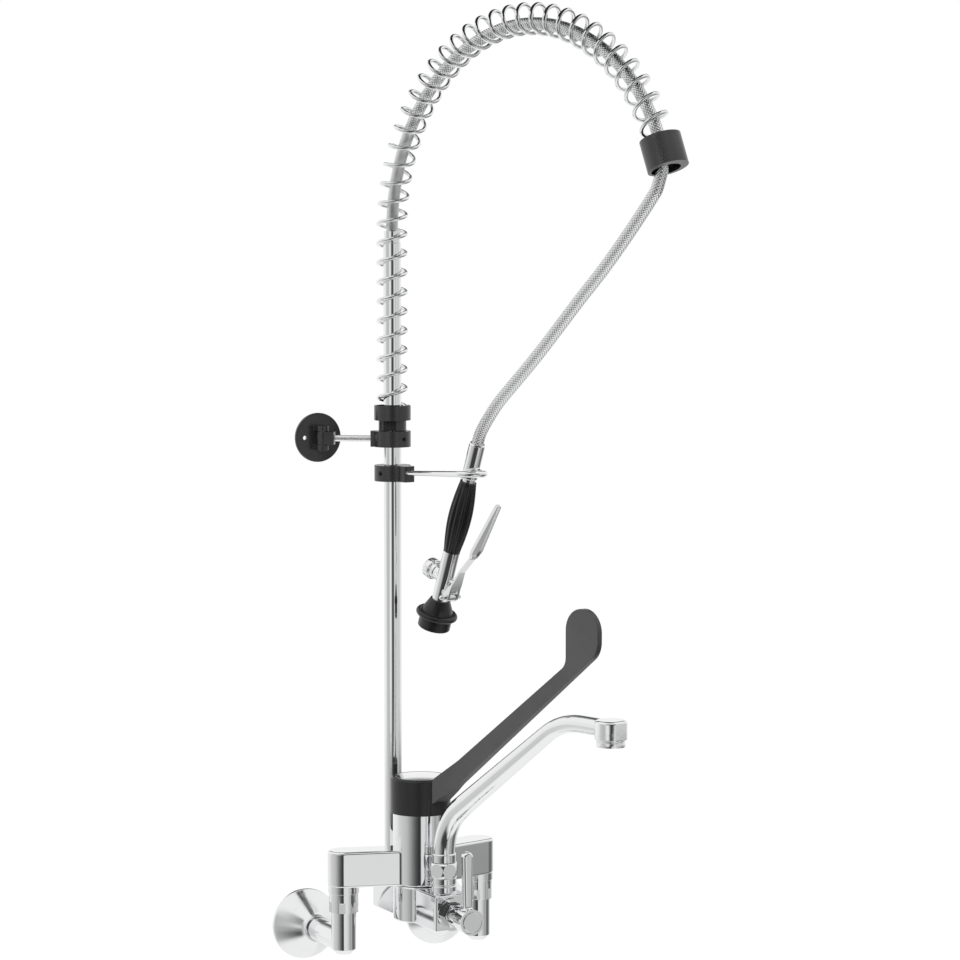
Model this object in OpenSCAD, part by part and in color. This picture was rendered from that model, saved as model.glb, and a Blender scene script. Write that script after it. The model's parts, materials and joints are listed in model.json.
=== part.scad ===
// Wall-mounted catering tap: elbow-lever mixer, swivel spout and sprung pre-rinse spray arm.
// Millimetres. Origin on the wall face, midway between the two inlets. +Y goes into the wall, +Z up.

/* [Wall inlets] */
// Distance between the two inlet centres
inlet_spacing = 150; // [130:1:170]
// Outer radius of the inlet thread that enters the wall
stud_r = 10.48; // [9.5:0.01:11.5]
// Length of the inlet thread behind the wall face
stud_len = 14; // [8:1:24]
// Outer radius of the inlet pipe and its elbow
tail_r = 12; // [11:0.1:13.4]
// Radius of the cast ball at the corner of the elbow
elbow_ball_extra = 0.4; // [0.2:0.1:1]
// Chamfer round the foot of the elbow's upright
elbow_chamfer = 5; // [2:0.5:6]
// Bore radius of the inlet pipe
tail_bore_r = 7.5; // [6:0.1:8.5]
// Depth of the stud's solid core behind the wall face
stud_core = 3; // [2:0.5:6]
// Radius of the ring of flow holes round the stud's core
flow_ring_r = 5.2; // [4.4:0.1:5.4]
// Radius of each flow hole
flow_hole_r = 1.8; // [1.2:0.1:1.9]
// Length of each non-return valve
check_valve_len = 18; // [12:1:24]
// Distance from the wall face to the upright of the elbow
elbow_reach = 96; // [88:1:104]
// Height of the elbow's shoulder above the inlet axis
elbow_rise = 30; // [24:1:40]
// Radius of the threaded end above the shoulder
elbow_thread_r = 10.2; // [9:0.1:10.8]
// Outer radius of the wall flange
flange_r = 36; // [30:1:44]
// Depth of the wall flange in front of the wall
flange_depth = 33; // [26:1:42]
// Depth of the straight neck of the wall flange
flange_neck_len = 6; // [3:0.5:9]
// Wall thickness of the wall flange
flange_wall = 1.6; // [1:0.1:2.4]
// Height of the flange's flat rim
flange_rim = 3.5; // [2:0.5:6]

/* [Union nuts] */
// Total height of a union nut
nut_h = 19; // [15:1:24]
// Height of the hexagon at the foot of the nut
nut_hex_h = 11; // [8:0.5:13]
// Radius over the corners of the hexagon
nut_corner_r = 16; // [15:0.1:17.5]
// Radius of the round collar above the hexagon
nut_collar_r = 14.6; // [13.8:0.1:14.9]
// Thickness of the union gasket
gasket_t = 2; // [1:0.1:3]

/* [Mixer body] */
// Distance that the arms sweep back from the body axis to the inlets
arm_sweep = 21; // [12:1:28]
// Half width of an arm, and radius of its round end
arm_half_w = 16; // [15.5:0.1:18]
// Amount by which each arm is slimmer than its round end
arm_waist = 0.4; // [0.3:0.1:0.5]
// Height of an arm
arm_h = 36; // [28:1:40]
// Radius of the round foot under the end of an arm
arm_foot_r = 15.4; // [14.9:0.1:15.4]
// Height of the round foot under the end of an arm
arm_foot_h = 7; // [5:0.5:10]
// Radius of the upright body
body_r = 27.5; // [25:0.1:28]
// Height of the upright body
body_h = 72; // [66:1:80]
// Radius of the chamber that holds the cartridge
chamber_r = 17.5; // [16.5:0.1:19]
// Thickness of the floor below the cartridge chamber
chamber_floor = 16; // [10:1:22]
// Radius of the water passages
passage_r = 6; // [4.5:0.1:6.8]

/* [Lever] */
// Turn of the lever, the spout and the spray arch towards the right
plane_turn = 14; // [-20:1:30]
// Depth of the lift pivot below the lever hub
pivot_drop = 5; // [4:0.5:6]
// Outer radius of the lever hub
hub_r = 30.3; // [30:0.1:33]
// Radius inside the skirt of the lever hub
hub_inner_r = 28.8; // [28.6:0.1:29.2]
// Height of the lever hub
hub_h = 36; // [34:0.5:40]
// Rounding of the hub's top edge
hub_round = 3; // [1:0.5:5]
// Radius of the dome under the hub
dome_r = 27.2; // [25:0.1:27.4]
// Height of the hub's ceiling above the pivot
hub_ceiling = 28; // [27.8:0.1:29]
// Radius of the index cap on the hub
cap_r = 25; // [18:0.5:26]
// Height of the cap's rim
cap_rim = 2; // [1:0.1:3]
// Rise of the cap's dome
cap_rise = 1.6; // [0.8:0.1:3]
// Slope of the lever's lower edge
lever_slope = 36.87; // [30:0.5:42]
// Length of the lever from its root to the middle of the paddle's lower end
lever_len = 255; // [200:1:290]
// Distance of the lever's root from the body axis
lever_root_s = 49; // [46:1:56]
// Height of the lever's root above the foot of the hub
lever_root_up = 25; // [22:1:30]
// Height of the lever at its root
lever_root_h = 20.4; // [16:0.2:26]
// Height of the lever where it meets the paddle
lever_end_h = 14.6; // [10:0.2:20]
// Radius of the paddle's round ends
paddle_r = 21.8; // [18:0.2:30]
// Upright distance between the middles of the paddle's round ends
paddle_rise = 8; // [1:0.5:14]
// Radius of the hollow between the lever and the paddle
paddle_neck_r = 14; // [8:1:20]
// Width of the lever's root block
lever_root_w = 21; // [16:0.5:26]
// Thickness of the lever after its root
lever_arm_w = 8.4; // [7:0.2:12]
// Thickness of the paddle
paddle_w = 5; // [4:0.2:7]
// Width of the square stem inside the hub
stem_w = 8; // [7:0.1:9]
// Depth of the carrier's foot below the lift pivot
carrier_depth = 20; // [18:0.5:22]
// Radius of the carrier that turns with the lever
carrier_r = 10; // [9.5:0.1:11]
// Radius of the pin that the stem tilts on
stem_pin_r = 2; // [1.5:0.1:2.5]

/* [Outlet manifold] */
// Height of the manifold
manifold_h = 36; // [30:1:42]
// Width of the manifold's square bar
manifold_w = 35; // [32:1:40]
// Distance from the body axis forward to the spout axis
spout_front = 53; // [50:1:60]
// Length of the bar in front of the spout axis
manifold_nose = 18; // [16:1:24]
// Distance from the body axis back to the riser axis
riser_back = 63; // [60:1:70]
// Length of the bar behind the riser axis
manifold_tail = 13; // [12:1:20]
// Inner radius of the seal under the body
seal_in_r = 9; // [8:0.1:10]
// Section of the seal under the body
seal_t = 2; // [1.5:0.1:3]

/* [Spout] */
// Radius of the spout socket
socket_r = 12.5; // [12.2:0.1:13.5]
// Height of the spout socket below its nut
socket_h = 15; // [12:0.5:20]
// Depth of the groove round the socket
socket_groove = 1; // [0.5:0.1:1.5]
// Radius of the thread on the socket
socket_thread_r = 11; // [10.6:0.1:11.5]
// Radius over the corners of the spout nut
spout_nut_r = 14.9; // [14.5:0.1:16]
// Height of the spout nut
spout_nut_h = 15; // [12:0.5:20]
// Thickness of the lip on top of the spout nut
spout_nut_lip = 2; // [1.5:0.1:3]
// Radius of the spout's turning tail
spout_tail_r = 8; // [7.5:0.1:8.5]
// Radius of the spout's round base
spout_base_r = 12; // [11:0.1:14]
// Height of the spout's round base
spout_base_h = 8; // [5:1:14]
// Outer radius of the spout pipe at its foot
spout_r = 10.8; // [9:0.1:11.5]
// Outer radius of the spout pipe at its outlet
spout_tip_r = 8.6; // [8.4:0.1:10.8]
// Bore radius of the spout pipe
spout_bore_r = 7; // [5:0.1:7.6]
// Bend radius at the foot of the spout
spout_bend_r = 60; // [50:1:64]
// Bend radius at the top of the spout
spout_top_bend_r = 85; // [60:1:110]
// Slope of the spout's rising part
spout_slope = 35; // [28:0.5:42]
// Length of the spout's straight rising part
spout_rise_len = 152.5; // [110:0.5:200]
// Length of the level part before the outlet
spout_level_len = 40.5; // [34:0.5:60]
// Radius of the outlet head
spout_head_r = 15.5; // [14.8:0.1:18]
// Depth of the outlet head below the pipe's underside
spout_head_drop = 0.8; // [0.5:0.1:4]
// Distance from the head's axis to the flat on its front
spout_head_flat = 14; // [13.4:0.1:15]
// Outer radius of the aerator
aerator_r = 13.8; // [13:0.1:14.6]
// Height of the aerator below the head
aerator_h = 7; // [6.5:0.5:12]
// Outer radius of the aerator's thread
aerator_thread_r = 11; // [10.6:0.1:11.8]
// Length of the aerator's thread in the head
aerator_thread_len = 5; // [3:0.5:6]
// Radius of the aerator's screen
screen_r = 9.5; // [8:0.1:10]

/* [Diverter] */
// Height of the diverter's axis above the manifold's underside
diverter_up = 17; // [15:0.5:20]
// Outer radius of the diverter bonnet
bonnet_r = 10; // [9.5:0.1:12]
// Length of the diverter bonnet in front of the manifold
bonnet_len = 24; // [18:1:30]
// Radius of the flange between the diverter's bonnet and the manifold
bonnet_flange_r = 16.2; // [13:0.1:17]
// Thickness of that flange
bonnet_flange_t = 2; // [1:0.1:3]
// Radius of the diverter bonnet's thread inside the manifold
bonnet_thread_r = 8; // [7.5:0.1:9]
// Radius of the diverter spindle
spindle_r = 4; // [3:0.1:4.5]
// Radius of the diverter handle's hub
diverter_hub_r = 12; // [11:0.1:14]
// Length of the diverter handle's hub
diverter_hub_len = 20; // [17:0.5:26]
// Radius of the cap on the hub
diverter_cap_r = 10; // [7:0.1:10.5]
// Length of the diverter lever above its axis
diverter_lever_len = 68; // [50:1:80]
// Width of the diverter lever at its root
diverter_lever_w = 8; // [6:0.2:9]
// Width of the diverter lever at its tip
diverter_tip_w = 10.5; // [8:0.2:12]
// Thickness of the diverter lever
diverter_lever_t = 8.5; // [6:0.2:10]

/* [Riser and spring] */
// Outer radius of the riser pipe
riser_r = 9; // [8:0.1:9.6]
// Wall thickness of the riser pipe
riser_wall = 1.2; // [0.8:0.1:2]
// Radius over the corners of the riser nut
riser_nut_r = 15; // [14:0.1:16]
// Height of the riser nut
riser_nut_h = 14; // [10:0.5:18]
// Height of the start of the arch above the inlet axis
arch_z = 707; // [660:1:760]
// Radius of the arch
arch_r = 202; // [199:1:204]
// Angle that the spring follows round the arch
arch_angle = 158; // [157:0.1:159]
// Angle that the hose follows round the arch
hose_angle = 154; // [150:0.5:155]
// Outer radius of the hose
hose_r = 6; // [5:0.1:6.4]
// Length of the coupling between the riser and the hose
coupling_len = 12; // [8:1:20]
// Radius of the coupling between the riser and the hose
coupling_r = 8.4; // [7:0.1:9]
// Radius of the spring at the middle of its wire
spring_r = 14; // [13.4:0.1:14.2]
// Thickness of the spring's wire
wire_d = 4; // [3:0.1:4.4]
// Number of curls in the spring
spring_turns = 38; // [30:1:44]
// Depth of the socket in the lower spring cup
cup_socket = 8; // [6:0.5:10]
// Wall of the socket in the lower spring cup
cup_wall = 1.6; // [1.2:0.1:3]
// Height of the lower spring cup
seat_cup_h = 15; // [11:0.5:18]
// Height of the neck below the lower spring cup
seat_neck_h = 10.5; // [8:0.5:14]
// Radius of the neck below the lower spring cup
seat_neck_r = 14; // [12:0.1:16]
// Depth of the flat cut on the neck
seat_flat = 3.2; // [1:0.1:3.6]
// Length of the cup at the end of the arch
end_cup_len = 30; // [26:1:36]
// Wall of the socket in the end cup
end_cup_wall = 2.6; // [2:0.1:3.4]
// Depth of the socket in the end cup
end_cup_socket = 14; // [11:0.5:15]
// Thickness of the end cup's floor, which the spring rests on
end_cup_floor = 5; // [3:0.5:6]
// Radius of the hole in the end cup's floor
end_cup_hole_r = 14.2; // [13.8:0.1:14.6]
// Radius of the way out below the end cup's floor
end_cup_mouth_r = 17.5; // [17.3:0.1:18]

/* [Clamps and stay] */
// Outer radius of a clamp
clamp_r = 18.4; // [16.5:0.1:21]
// Height of a clamp
clamp_h = 16; // [13:0.5:18]
// Free height between the hook clamp and the stay clamp
clamp_spacing = 18.5; // [12:0.5:24]
// Width of a clamp's boss
clamp_boss_w = 13; // [12:0.5:16]
// Reach of the hook clamp's boss from the riser axis
hook_boss_reach = 28.5; // [24:0.5:32]
// Reach of the stay clamp's boss from the riser axis
stay_boss_reach = 22; // [21.5:0.5:30]
// Corner radius of a clamp's boss
clamp_boss_round = 3; // [1:0.5:5]
// Width of the slit in a clamp
clamp_slit = 1.4; // [1:0.1:2]
// Radius of the clamp screws
clamp_screw_r = 2.5; // [2:0.1:3]
// Direction of the hook clamp's screw
hook_screw_turn = -67; // [-110:1:-60]
// Radius of the hook's rod
hook_rod_r = 3.4; // [2.8:0.1:3.6]
// Radius of the hook's loop at the middle of the rod
hook_loop_r = 13.8; // [13.6:0.1:15]
// Amount that the hook's rod thins towards its clamp
hook_rod_taper = 0.8; // [0.2:0.1:1]
// Angle of the hook's loop
hook_loop_angle = 245; // [200:1:260]
// Distance below the gun's top at which the hook holds it
hook_drop = 32.3; // [30:0.1:34]
// Rise of the hook's rod from its clamp to its loop
hook_rise = 6; // [2:0.5:9]
// Radius of the stay rod
stay_rod_r = 3.2; // [2.5:0.1:3.5]
// Distance of the wall plate to the left of the middle
plate_left = 59; // [52:1:70]
// Distance of the plate's pivot from the wall
plate_pivot_out = 14; // [13:0.5:18]
// Radius of the wall plate
plate_r = 25; // [22:0.5:32]
// Thickness of the wall plate
plate_t = 4; // [3:0.2:5]
// Spacing of the two screw holes in the wall plate
plate_hole_spacing = 30; // [28:1:34]
// Radius of the screw holes in the wall plate
plate_hole_r = 2.2; // [1.8:0.1:2.8]
// Radius of the knuckle on the end of the stay rod
knuckle_r = 6; // [5.5:0.1:7]
// Height of the knuckle
knuckle_h = 13; // [10:0.5:15]
// Thickness of the plate's two ears
ear_t = 5.5; // [4:0.1:7]
// Radius of the stay pin
stay_pin_r = 2.5; // [2:0.1:3]

/* [Spray gun] */
// Tilt of the gun
gun_tilt = 19.7; // [18:0.1:21]
// Radius of the hose ferrule
ferrule_r = 8.2; // [7.6:0.1:8.6]
// Length of the hose ferrule
ferrule_len = 37; // [34:0.5:40]
// Length of the bright neck below the ferrule
gun_neck_len = 4; // [2:0.5:6]
// Radius of the bright neck below the ferrule
gun_neck_r = 6.5; // [5.5:0.1:7.5]
// Length of the grip
grip_len = 75; // [65:1:90]
// Radius of the grip's ends
grip_end_r = 8.2; // [7.5:0.1:9]
// Radius of the grip's belly
grip_belly_r = 12; // [10.5:0.1:12.4]
// Number of ribs round the grip
grip_ribs = 12; // [8:1:16]
// Depth of the grooves between the ribs
grip_groove = 1.1; // [0.6:0.1:1.6]
// Radius of the valve body
valve_r = 8.5; // [8:0.1:9]
// Length of the valve body
valve_len = 52; // [48:1:60]
// Distance of the valve's cross axis below the top of its body
valve_cross_down = 28; // [25:0.5:30]
// Radius of the valve's cross boss
cross_r = 7.6; // [7:0.1:8]
// Reach of the valve's cross boss behind the gun axis
cross_reach = 12; // [10.5:0.5:14]
// Radius of the valve cover
cover_r = 10.5; // [9.5:0.1:12]
// Length of the valve cover
cover_len = 14; // [12.5:0.5:18]
// Rounding of the valve cover
cover_round = 2.5; // [1:0.1:3.5]
// Radius of the plunger
plunger_r = 2.5; // [2:0.1:3]
// Distance of the trigger's pivot in front of the gun axis
trigger_out = 13; // [12.5:0.1:14]
// Distance of the trigger's pivot below the valve's cross axis
trigger_down = 16; // [15:0.5:18]
// Radius of the trigger pin
trigger_pin_r = 2; // [1.6:0.1:2.4]
// Half width of the lug that carries the trigger
lug_half_w = 4; // [3.5:0.1:5]
// Thickness of the trigger's plate
trigger_t = 2.4; // [1.8:0.1:3]
// Width of the trigger's leaf at its shoulders
trigger_w = 13; // [10:0.5:15]
// Width of the trigger's leaf at its tip
trigger_end_w = 6; // [5:0.5:8]
// Width of the rim that is turned up round the leaf
trigger_rim = 1.3; // [1:0.1:1.8]
// Height of that rim above the leaf
trigger_rim_h = 1.4; // [0.8:0.1:2]
// Length of the trigger's leaf
trigger_paddle_len = 67; // [50:1:75]
// Slope of the trigger's leaf away from the gun axis
trigger_splay = 15; // [13:0.5:20]
// Radius of the balls on the trigger pin
pin_ball_r = 2.9; // [2.4:0.1:3.4]
// Radius of the spray head's shoulder
head_top_r = 10; // [9.2:0.1:11]
// Radius of the spray head's skirt
head_r = 16.3; // [15:0.1:18]
// Length of the spray head
head_len = 31; // [28:1:36]
// Radius of the bumper ring at its outside
bumper_r = 21; // [20:0.2:24]
// Section radius of the bumper ring
bumper_section_r = 3; // [2.5:0.1:3.4]
// Radius of the spray face
rose_r = 13; // [11:0.1:13.6]
// Thickness of the spray face
rose_t = 4; // [3:0.2:5]

/* [Clearances] */
// Radial clearance of a piece that turns or slides
run_clear = 0.05; // [0.02:0.01:0.09]
// Radial clearance of a piece that is screwed or pushed in
seat_clear = 0.05; // [0.02:0.01:0.15]
// Gap between faces that move past each other
face_gap = 0.3; // [0.2:0.05:0.5]

/* [Hidden] */
$fn = 64;

// Finishes
chrome = [0.86, 0.87, 0.88];
satin = [0.74, 0.75, 0.76];
braid = [0.66, 0.67, 0.68];
black = [0.10, 0.10, 0.11];
charcoal = [0.20, 0.20, 0.21];
fibre = [0.35, 0.24, 0.18];
resin = [0.85, 0.84, 0.80];

// Route of the free hose in the plane of the arch: distance from the riser axis, and height
hose_route = [
    [384, 795], [388, 783], [389, 772], [388, 763], [385, 754], [381, 745], [375, 738],
    [366, 728], [346, 707], [326, 687], [305, 667], [280, 645], [256, 623], [231, 600],
    [206, 578], [182, 558], [162, 541], [147, 525], [136, 511], [131, 500]
];
hose_sides = 10;

// Places along the wall's normal
body_y = -elbow_reach - arm_sweep;
riser_y = body_y + riser_back;
spout_y = body_y - spout_front;
manifold_front_y = spout_y - manifold_nose;

// Heights of the mixer
nut_z = elbow_rise;
foot_z = nut_z + nut_h;
arm_z = foot_z + arm_foot_h;
hub_z = arm_z + body_h;
pivot_z = hub_z - pivot_drop;
manifold_z = arm_z - manifold_h;
diverter_z = manifold_z + diverter_up;
gasket_z = foot_z - gasket_t;
chamber_z = arm_z + chamber_floor;
carrier_z = pivot_z - carrier_depth;
stem_slot_z = pivot_z - 8;
bolt_depth = 8;

// Pipes are joined by running the thinner one a little way into the thicker one
joint_lap = 1;
joint_step = 0.06;

// Gun place: the top of its ferrule is the end of the free hose
gun_top = hose_route[len(hose_route) - 1];
grip_z = -ferrule_len - gun_neck_len;
valve_z = grip_z - grip_len;
cross_z = valve_z - valve_cross_down;
head_z = valve_z - valve_len;
trigger_z = cross_z - trigger_down;

// Clamps, from the hook upwards
hook_z = gun_top[1] - hook_drop * cos(gun_tilt);
hook_s = gun_top[0] - hook_drop * sin(gun_tilt);
hook_foot_z = hook_z - hook_rise;
hook_clamp_z = hook_foot_z - clamp_h / 2;
stay_clamp_z = hook_clamp_z + clamp_h + clamp_spacing;
stay_z = stay_clamp_z + clamp_h / 2;
seat_z = stay_clamp_z + clamp_h + face_gap;
seat_top_z = seat_z + seat_neck_h + seat_cup_h;
cup_in_r = spring_r + wire_d / 2 + 0.9;
cup_r = cup_in_r + cup_wall;

// Spring: the wire's ends lie just off the floors of the two cups
wire_drop = wire_d / 2 + 1.1;
spring_z = seat_top_z - cup_socket + wire_drop;
arch_len = arch_r * arch_angle * PI / 180;
spring_len = arch_z - spring_z + arch_len;
rings_per_turn = 8;
wire_sides = 6;

// Stay: from the riser axis to the pivot of the wall plate
stay_dx = -plate_left;
stay_dy = -plate_pivot_out - riser_y;
stay_len = norm([stay_dx, stay_dy]);
stay_turn = atan2(stay_dy, stay_dx);

function arc(centre, r, from, to, steps) =
    [for (i = [0 : steps]) let (a = from + (to - from) * i / steps) centre + r * [cos(a), sin(a)]];

module ring(outer, inner, h) {
    difference() {
        cylinder(r = outer, h = h);
        translate([0, 0, -1])
            cylinder(r = inner, h = h + 2);
    }
}

// Hexagon turned to a ball, so that each flat shows as a disc
module ball_hex(corner_r, h, edge) {
    flat_r = corner_r * cos(30);
    intersection() {
        cylinder(r = corner_r, h = h, $fn = 6);
        translate([0, 0, h / 2])
            sphere(r = norm([h / 2, flat_r - edge]));
    }
}

// Hexagon with its corners turned off at both ends
module hex_block(corner_r, h, chamfer) {
    intersection() {
        cylinder(r = corner_r, h = h, $fn = 6);
        rotate_extrude()
            polygon([
                [0, 0], [corner_r - 2 * chamfer, 0], [corner_r, chamfer],
                [corner_r, h - chamfer], [corner_r - 2 * chamfer, h], [0, h]
            ]);
    }
}

// Upright disc with a round top edge
module rounded_disc(r, h, round) {
    rotate_extrude() {
        square([r, h - round]);
        square([r - round, h]);
        translate([r - round, h - round])
            intersection() {
                circle(r = round);
                square([round, round]);
            }
    }
}

// Frames: local +X runs forward in the turned plane, local +Z is up
module at_plane(y) {
    translate([0, y, 0])
        rotate([0, 0, plane_turn - 90])
            children();
}

module at_gun() {
    at_plane(riser_y)
        translate([gun_top[0], 0, gun_top[1]])
            rotate([0, gun_tilt, 0])
                children();
}

module at_end_cup() {
    at_plane(riser_y)
        translate([arch_r, 0, arch_z])
            rotate([0, arch_angle, 0])
                translate([-arch_r, 0, 0])
                    children();
}

module at_stay() {
    translate([0, riser_y, stay_z])
        rotate([0, 0, stay_turn])
            children();
}

module side_slab(width) {
    rotate([90, 0, 0])
        linear_extrude(height = width, center = true)
            children();
}

// Wall inlets

module wall_flange(side) {
    cone_end = flange_depth - flange_neck_len;
    neck_r = tail_r + seat_clear + flange_wall;
    bore_r = tail_r + seat_clear;
    color(chrome)
        translate([side * inlet_spacing / 2, 0, 0])
            rotate([90, 0, 0])
                rotate_extrude()
                    polygon([
                        [flange_r, 0], [flange_r, flange_rim], [neck_r + 1, cone_end],
                        [neck_r, cone_end + 1], [neck_r, flange_depth], [bore_r, flange_depth],
                        [bore_r, cone_end - flange_wall], [flange_r - flange_wall, flange_rim - flange_wall],
                        [flange_r - flange_wall, 0]
                    ]);
}

module inlet_elbow(side) {
    ball_r = tail_r + elbow_ball_extra;
    upright_bore_r = tail_bore_r - 0.6;
    color(chrome)
        translate([side * inlet_spacing / 2, 0, 0])
            difference() {
                union() {
                    translate([0, stud_len, 0])
                        rotate([90, 0, 0])
                            cylinder(r = stud_r, h = stud_len + 1);
                    rotate([90, 0, 0])
                        cylinder(r = tail_r, h = elbow_reach);
                    translate([0, -elbow_reach, 0]) {
                        translate([0, 0, -ball_r])
                            cylinder(r1 = ball_r - elbow_chamfer, r2 = ball_r, h = elbow_chamfer);
                        translate([0, 0, elbow_chamfer - ball_r])
                            cylinder(r = ball_r, h = elbow_rise + ball_r - elbow_chamfer);
                        cylinder(r = elbow_thread_r, h = gasket_z);
                    }
                }
                translate([0, -stud_core, 0])
                    rotate([90, 0, 0])
                        cylinder(r = tail_bore_r, h = elbow_reach - stud_core);
                for (turn = [0 : 60 : 300])
                    rotate([0, turn, 0])
                        translate([0, stud_len + 1, flow_ring_r])
                            rotate([90, 0, 0])
                                cylinder(r = flow_hole_r, h = stud_len + stud_core + 2);
                translate([0, -elbow_reach, 0])
                    cylinder(r = upright_bore_r, h = gasket_z + 1);
            }
}

module union_nut(side) {
    bore_r = elbow_thread_r + seat_clear;
    color(chrome)
        translate([side * inlet_spacing / 2, -elbow_reach, nut_z])
            difference() {
                union() {
                    hex_block(nut_corner_r, nut_hex_h, 1.2);
                    cylinder(r = nut_collar_r, h = nut_h);
                }
                translate([0, 0, -1])
                    cylinder(r = bore_r, h = nut_h + 2);
            }
}

module union_gaskets() {
    color(fibre)
        for (side = [-1, 1])
            translate([side * inlet_spacing / 2, -elbow_reach, gasket_z])
                ring(elbow_thread_r, passage_r, gasket_t);
}

// Non-return valve in each inlet, shut by its disc, with a groove round the disc
module check_valves() {
    valve_r = tail_bore_r - seat_clear;
    color(resin)
        for (side = [-1, 1])
            translate([side * inlet_spacing / 2, -stud_core - 4, 0])
                rotate([90, 0, 0])
                    difference() {
                        cylinder(r = valve_r, h = check_valve_len);
                        translate([0, 0, -1])
                            ring(valve_r - 1.6, valve_r - 2.6, 3);
                    }
}

// Mixer body and cartridge

module arm_plan(side) {
    run = [side * inlet_spacing / 2, arm_sweep];
    translate(run)
        circle(r = arm_half_w);
    rotate([0, 0, atan2(run[1], run[0])])
        translate([0, arm_waist - arm_half_w])
            square([norm(run), 2 * (arm_half_w - arm_waist)]);
}

module mixer_body() {
    color(chrome)
        difference() {
            union() {
                translate([0, body_y, arm_z]) {
                    cylinder(r = body_r, h = body_h);
                    for (side = [-1, 1])
                        linear_extrude(height = arm_h)
                            arm_plan(side);
                }
                for (side = [-1, 1])
                    translate([side * inlet_spacing / 2, -elbow_reach, foot_z])
                        cylinder(r = arm_foot_r, h = arm_foot_h + 1);
            }
            translate([0, body_y, chamber_z])
                cylinder(r = chamber_r, h = body_h);
            translate([0, body_y, arm_z - 1])
                cylinder(r = passage_r, h = chamber_floor + 2);
            for (side = [-1, 1])
                translate([side * inlet_spacing / 2, -elbow_reach, foot_z - 1])
                    cylinder(r = passage_r, h = arm_foot_h + arm_h / 2);
        }
}

module cartridge() {
    top_z = carrier_z + 10;
    color(resin)
        translate([0, body_y, chamber_z])
            difference() {
                cylinder(r = chamber_r - seat_clear, h = top_z - chamber_z);
                translate([0, 0, carrier_z - face_gap - chamber_z])
                    cylinder(r = carrier_r + run_clear, h = top_z);
                translate([0, 0, -1])
                    cylinder(r = passage_r, h = 8);
            }
}

module cartridge_shroud() {
    skirt_z = carrier_z + 10;
    plate_top = hub_z + 3;
    mouth_r = 18;
    throat_r = carrier_r + 3;
    dome_top = pivot_z + sqrt(pow(dome_r, 2) - pow(mouth_r, 2));
    color(chrome)
        translate([0, body_y, 0])
            difference() {
                union() {
                    translate([0, 0, skirt_z])
                        cylinder(r = chamber_r - seat_clear, h = hub_z - skirt_z + 1);
                    intersection() {
                        translate([0, 0, pivot_z])
                            sphere(r = dome_r);
                        translate([0, 0, hub_z])
                            cylinder(r = body_r, h = dome_top - hub_z);
                    }
                }
                translate([0, 0, skirt_z - 1])
                    cylinder(r = throat_r, h = body_h);
                translate([0, 0, plate_top])
                    cylinder(r = mouth_r, h = body_h);
            }
}

module stem_carrier() {
    slot_w = stem_w + 2 * face_gap;
    color(resin)
        at_plane(body_y)
            difference() {
                translate([0, 0, carrier_z])
                    cylinder(r = carrier_r, h = pivot_z + 6 - carrier_z);
                translate([-carrier_r - 1, -slot_w / 2, stem_slot_z])
                    cube([2 * carrier_r + 2, slot_w, body_h]);
                translate([0, 0, pivot_z])
                    rotate([90, 0, 0])
                        cylinder(r = stem_pin_r + seat_clear, h = 4 * carrier_r, center = true);
            }
}

module stem_pin() {
    color(satin)
        at_plane(body_y)
            translate([0, 0, pivot_z])
                rotate([90, 0, 0])
                    cylinder(r = stem_pin_r, h = 2 * (carrier_r - 1), center = true);
}

module lever_stem() {
    stem_top = pivot_z + hub_ceiling + 6;
    color(satin)
        at_plane(body_y)
            difference() {
                union() {
                    translate([-stem_w / 2, -stem_w / 2, pivot_z])
                        cube([stem_w, stem_w, stem_top - pivot_z]);
                    translate([0, 0, pivot_z])
                        rotate([90, 0, 0])
                            cylinder(r = stem_w / 2 + 2, h = stem_w, center = true);
                }
                translate([0, 0, pivot_z])
                    rotate([90, 0, 0])
                        cylinder(r = stem_pin_r + run_clear, h = 2 * stem_w, center = true);
            }
}

// Elbow lever and its hub

// Outline of the lever in its own axes: along its lower edge, and square to it
// The paddle's back edge drops straight down to the arm, with a hollow where they meet
function lever_outline() =
    let (
        back = [lever_len - paddle_r * cos(lever_slope), paddle_r * (1 + sin(lever_slope))],
        foot = back[0] - (back[1] - lever_end_h) * tan(lever_slope),
        hollow = [foot - paddle_neck_r / tan(45 + lever_slope / 2), lever_end_h + paddle_neck_r],
        low = [lever_len, paddle_r],
        high = low + paddle_rise * [sin(lever_slope), cos(lever_slope)]
    )
    concat(
        arc(low, paddle_r, -90, -lever_slope, 8),
        arc(high, paddle_r, -lever_slope, 180 - lever_slope, 24),
        arc(hollow, paddle_neck_r, -lever_slope, -90, 10),
        [[-5, lever_root_h]]
    );

module lever_side() {
    translate([lever_root_s, hub_z + lever_root_up])
        rotate([0, 0, lever_slope])
            polygon(concat([[0, 0]], lever_outline()));
    root_top = hub_z + hub_h - hub_round;
    root_foot = hub_z + lever_root_up / 2;
    polygon([
        [cap_r - 4, root_top], [cap_r - 4, root_foot], [hub_r, root_foot],
        [lever_root_s + 1, hub_z + lever_root_up + 0.8],
        [lever_root_s - 5 * cos(lever_slope) - lever_root_h * sin(lever_slope) + 1,
            hub_z + lever_root_up - 5 * sin(lever_slope) + lever_root_h * cos(lever_slope) + 0.6],
        [hub_r - 1, root_top]
    ]);
}

module lever_plan() {
    reach = lever_root_s + lever_len + 2 * paddle_r;
    neck_s = lever_root_s + 14;
    polygon([
        [0, lever_root_w / 2], [hub_r + 2, lever_root_w / 2], [neck_s, lever_arm_w / 2],
        [reach, paddle_w / 2], [reach, -paddle_w / 2], [neck_s, -lever_arm_w / 2],
        [hub_r + 2, -lever_root_w / 2], [0, -lever_root_w / 2]
    ]);
}

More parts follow.
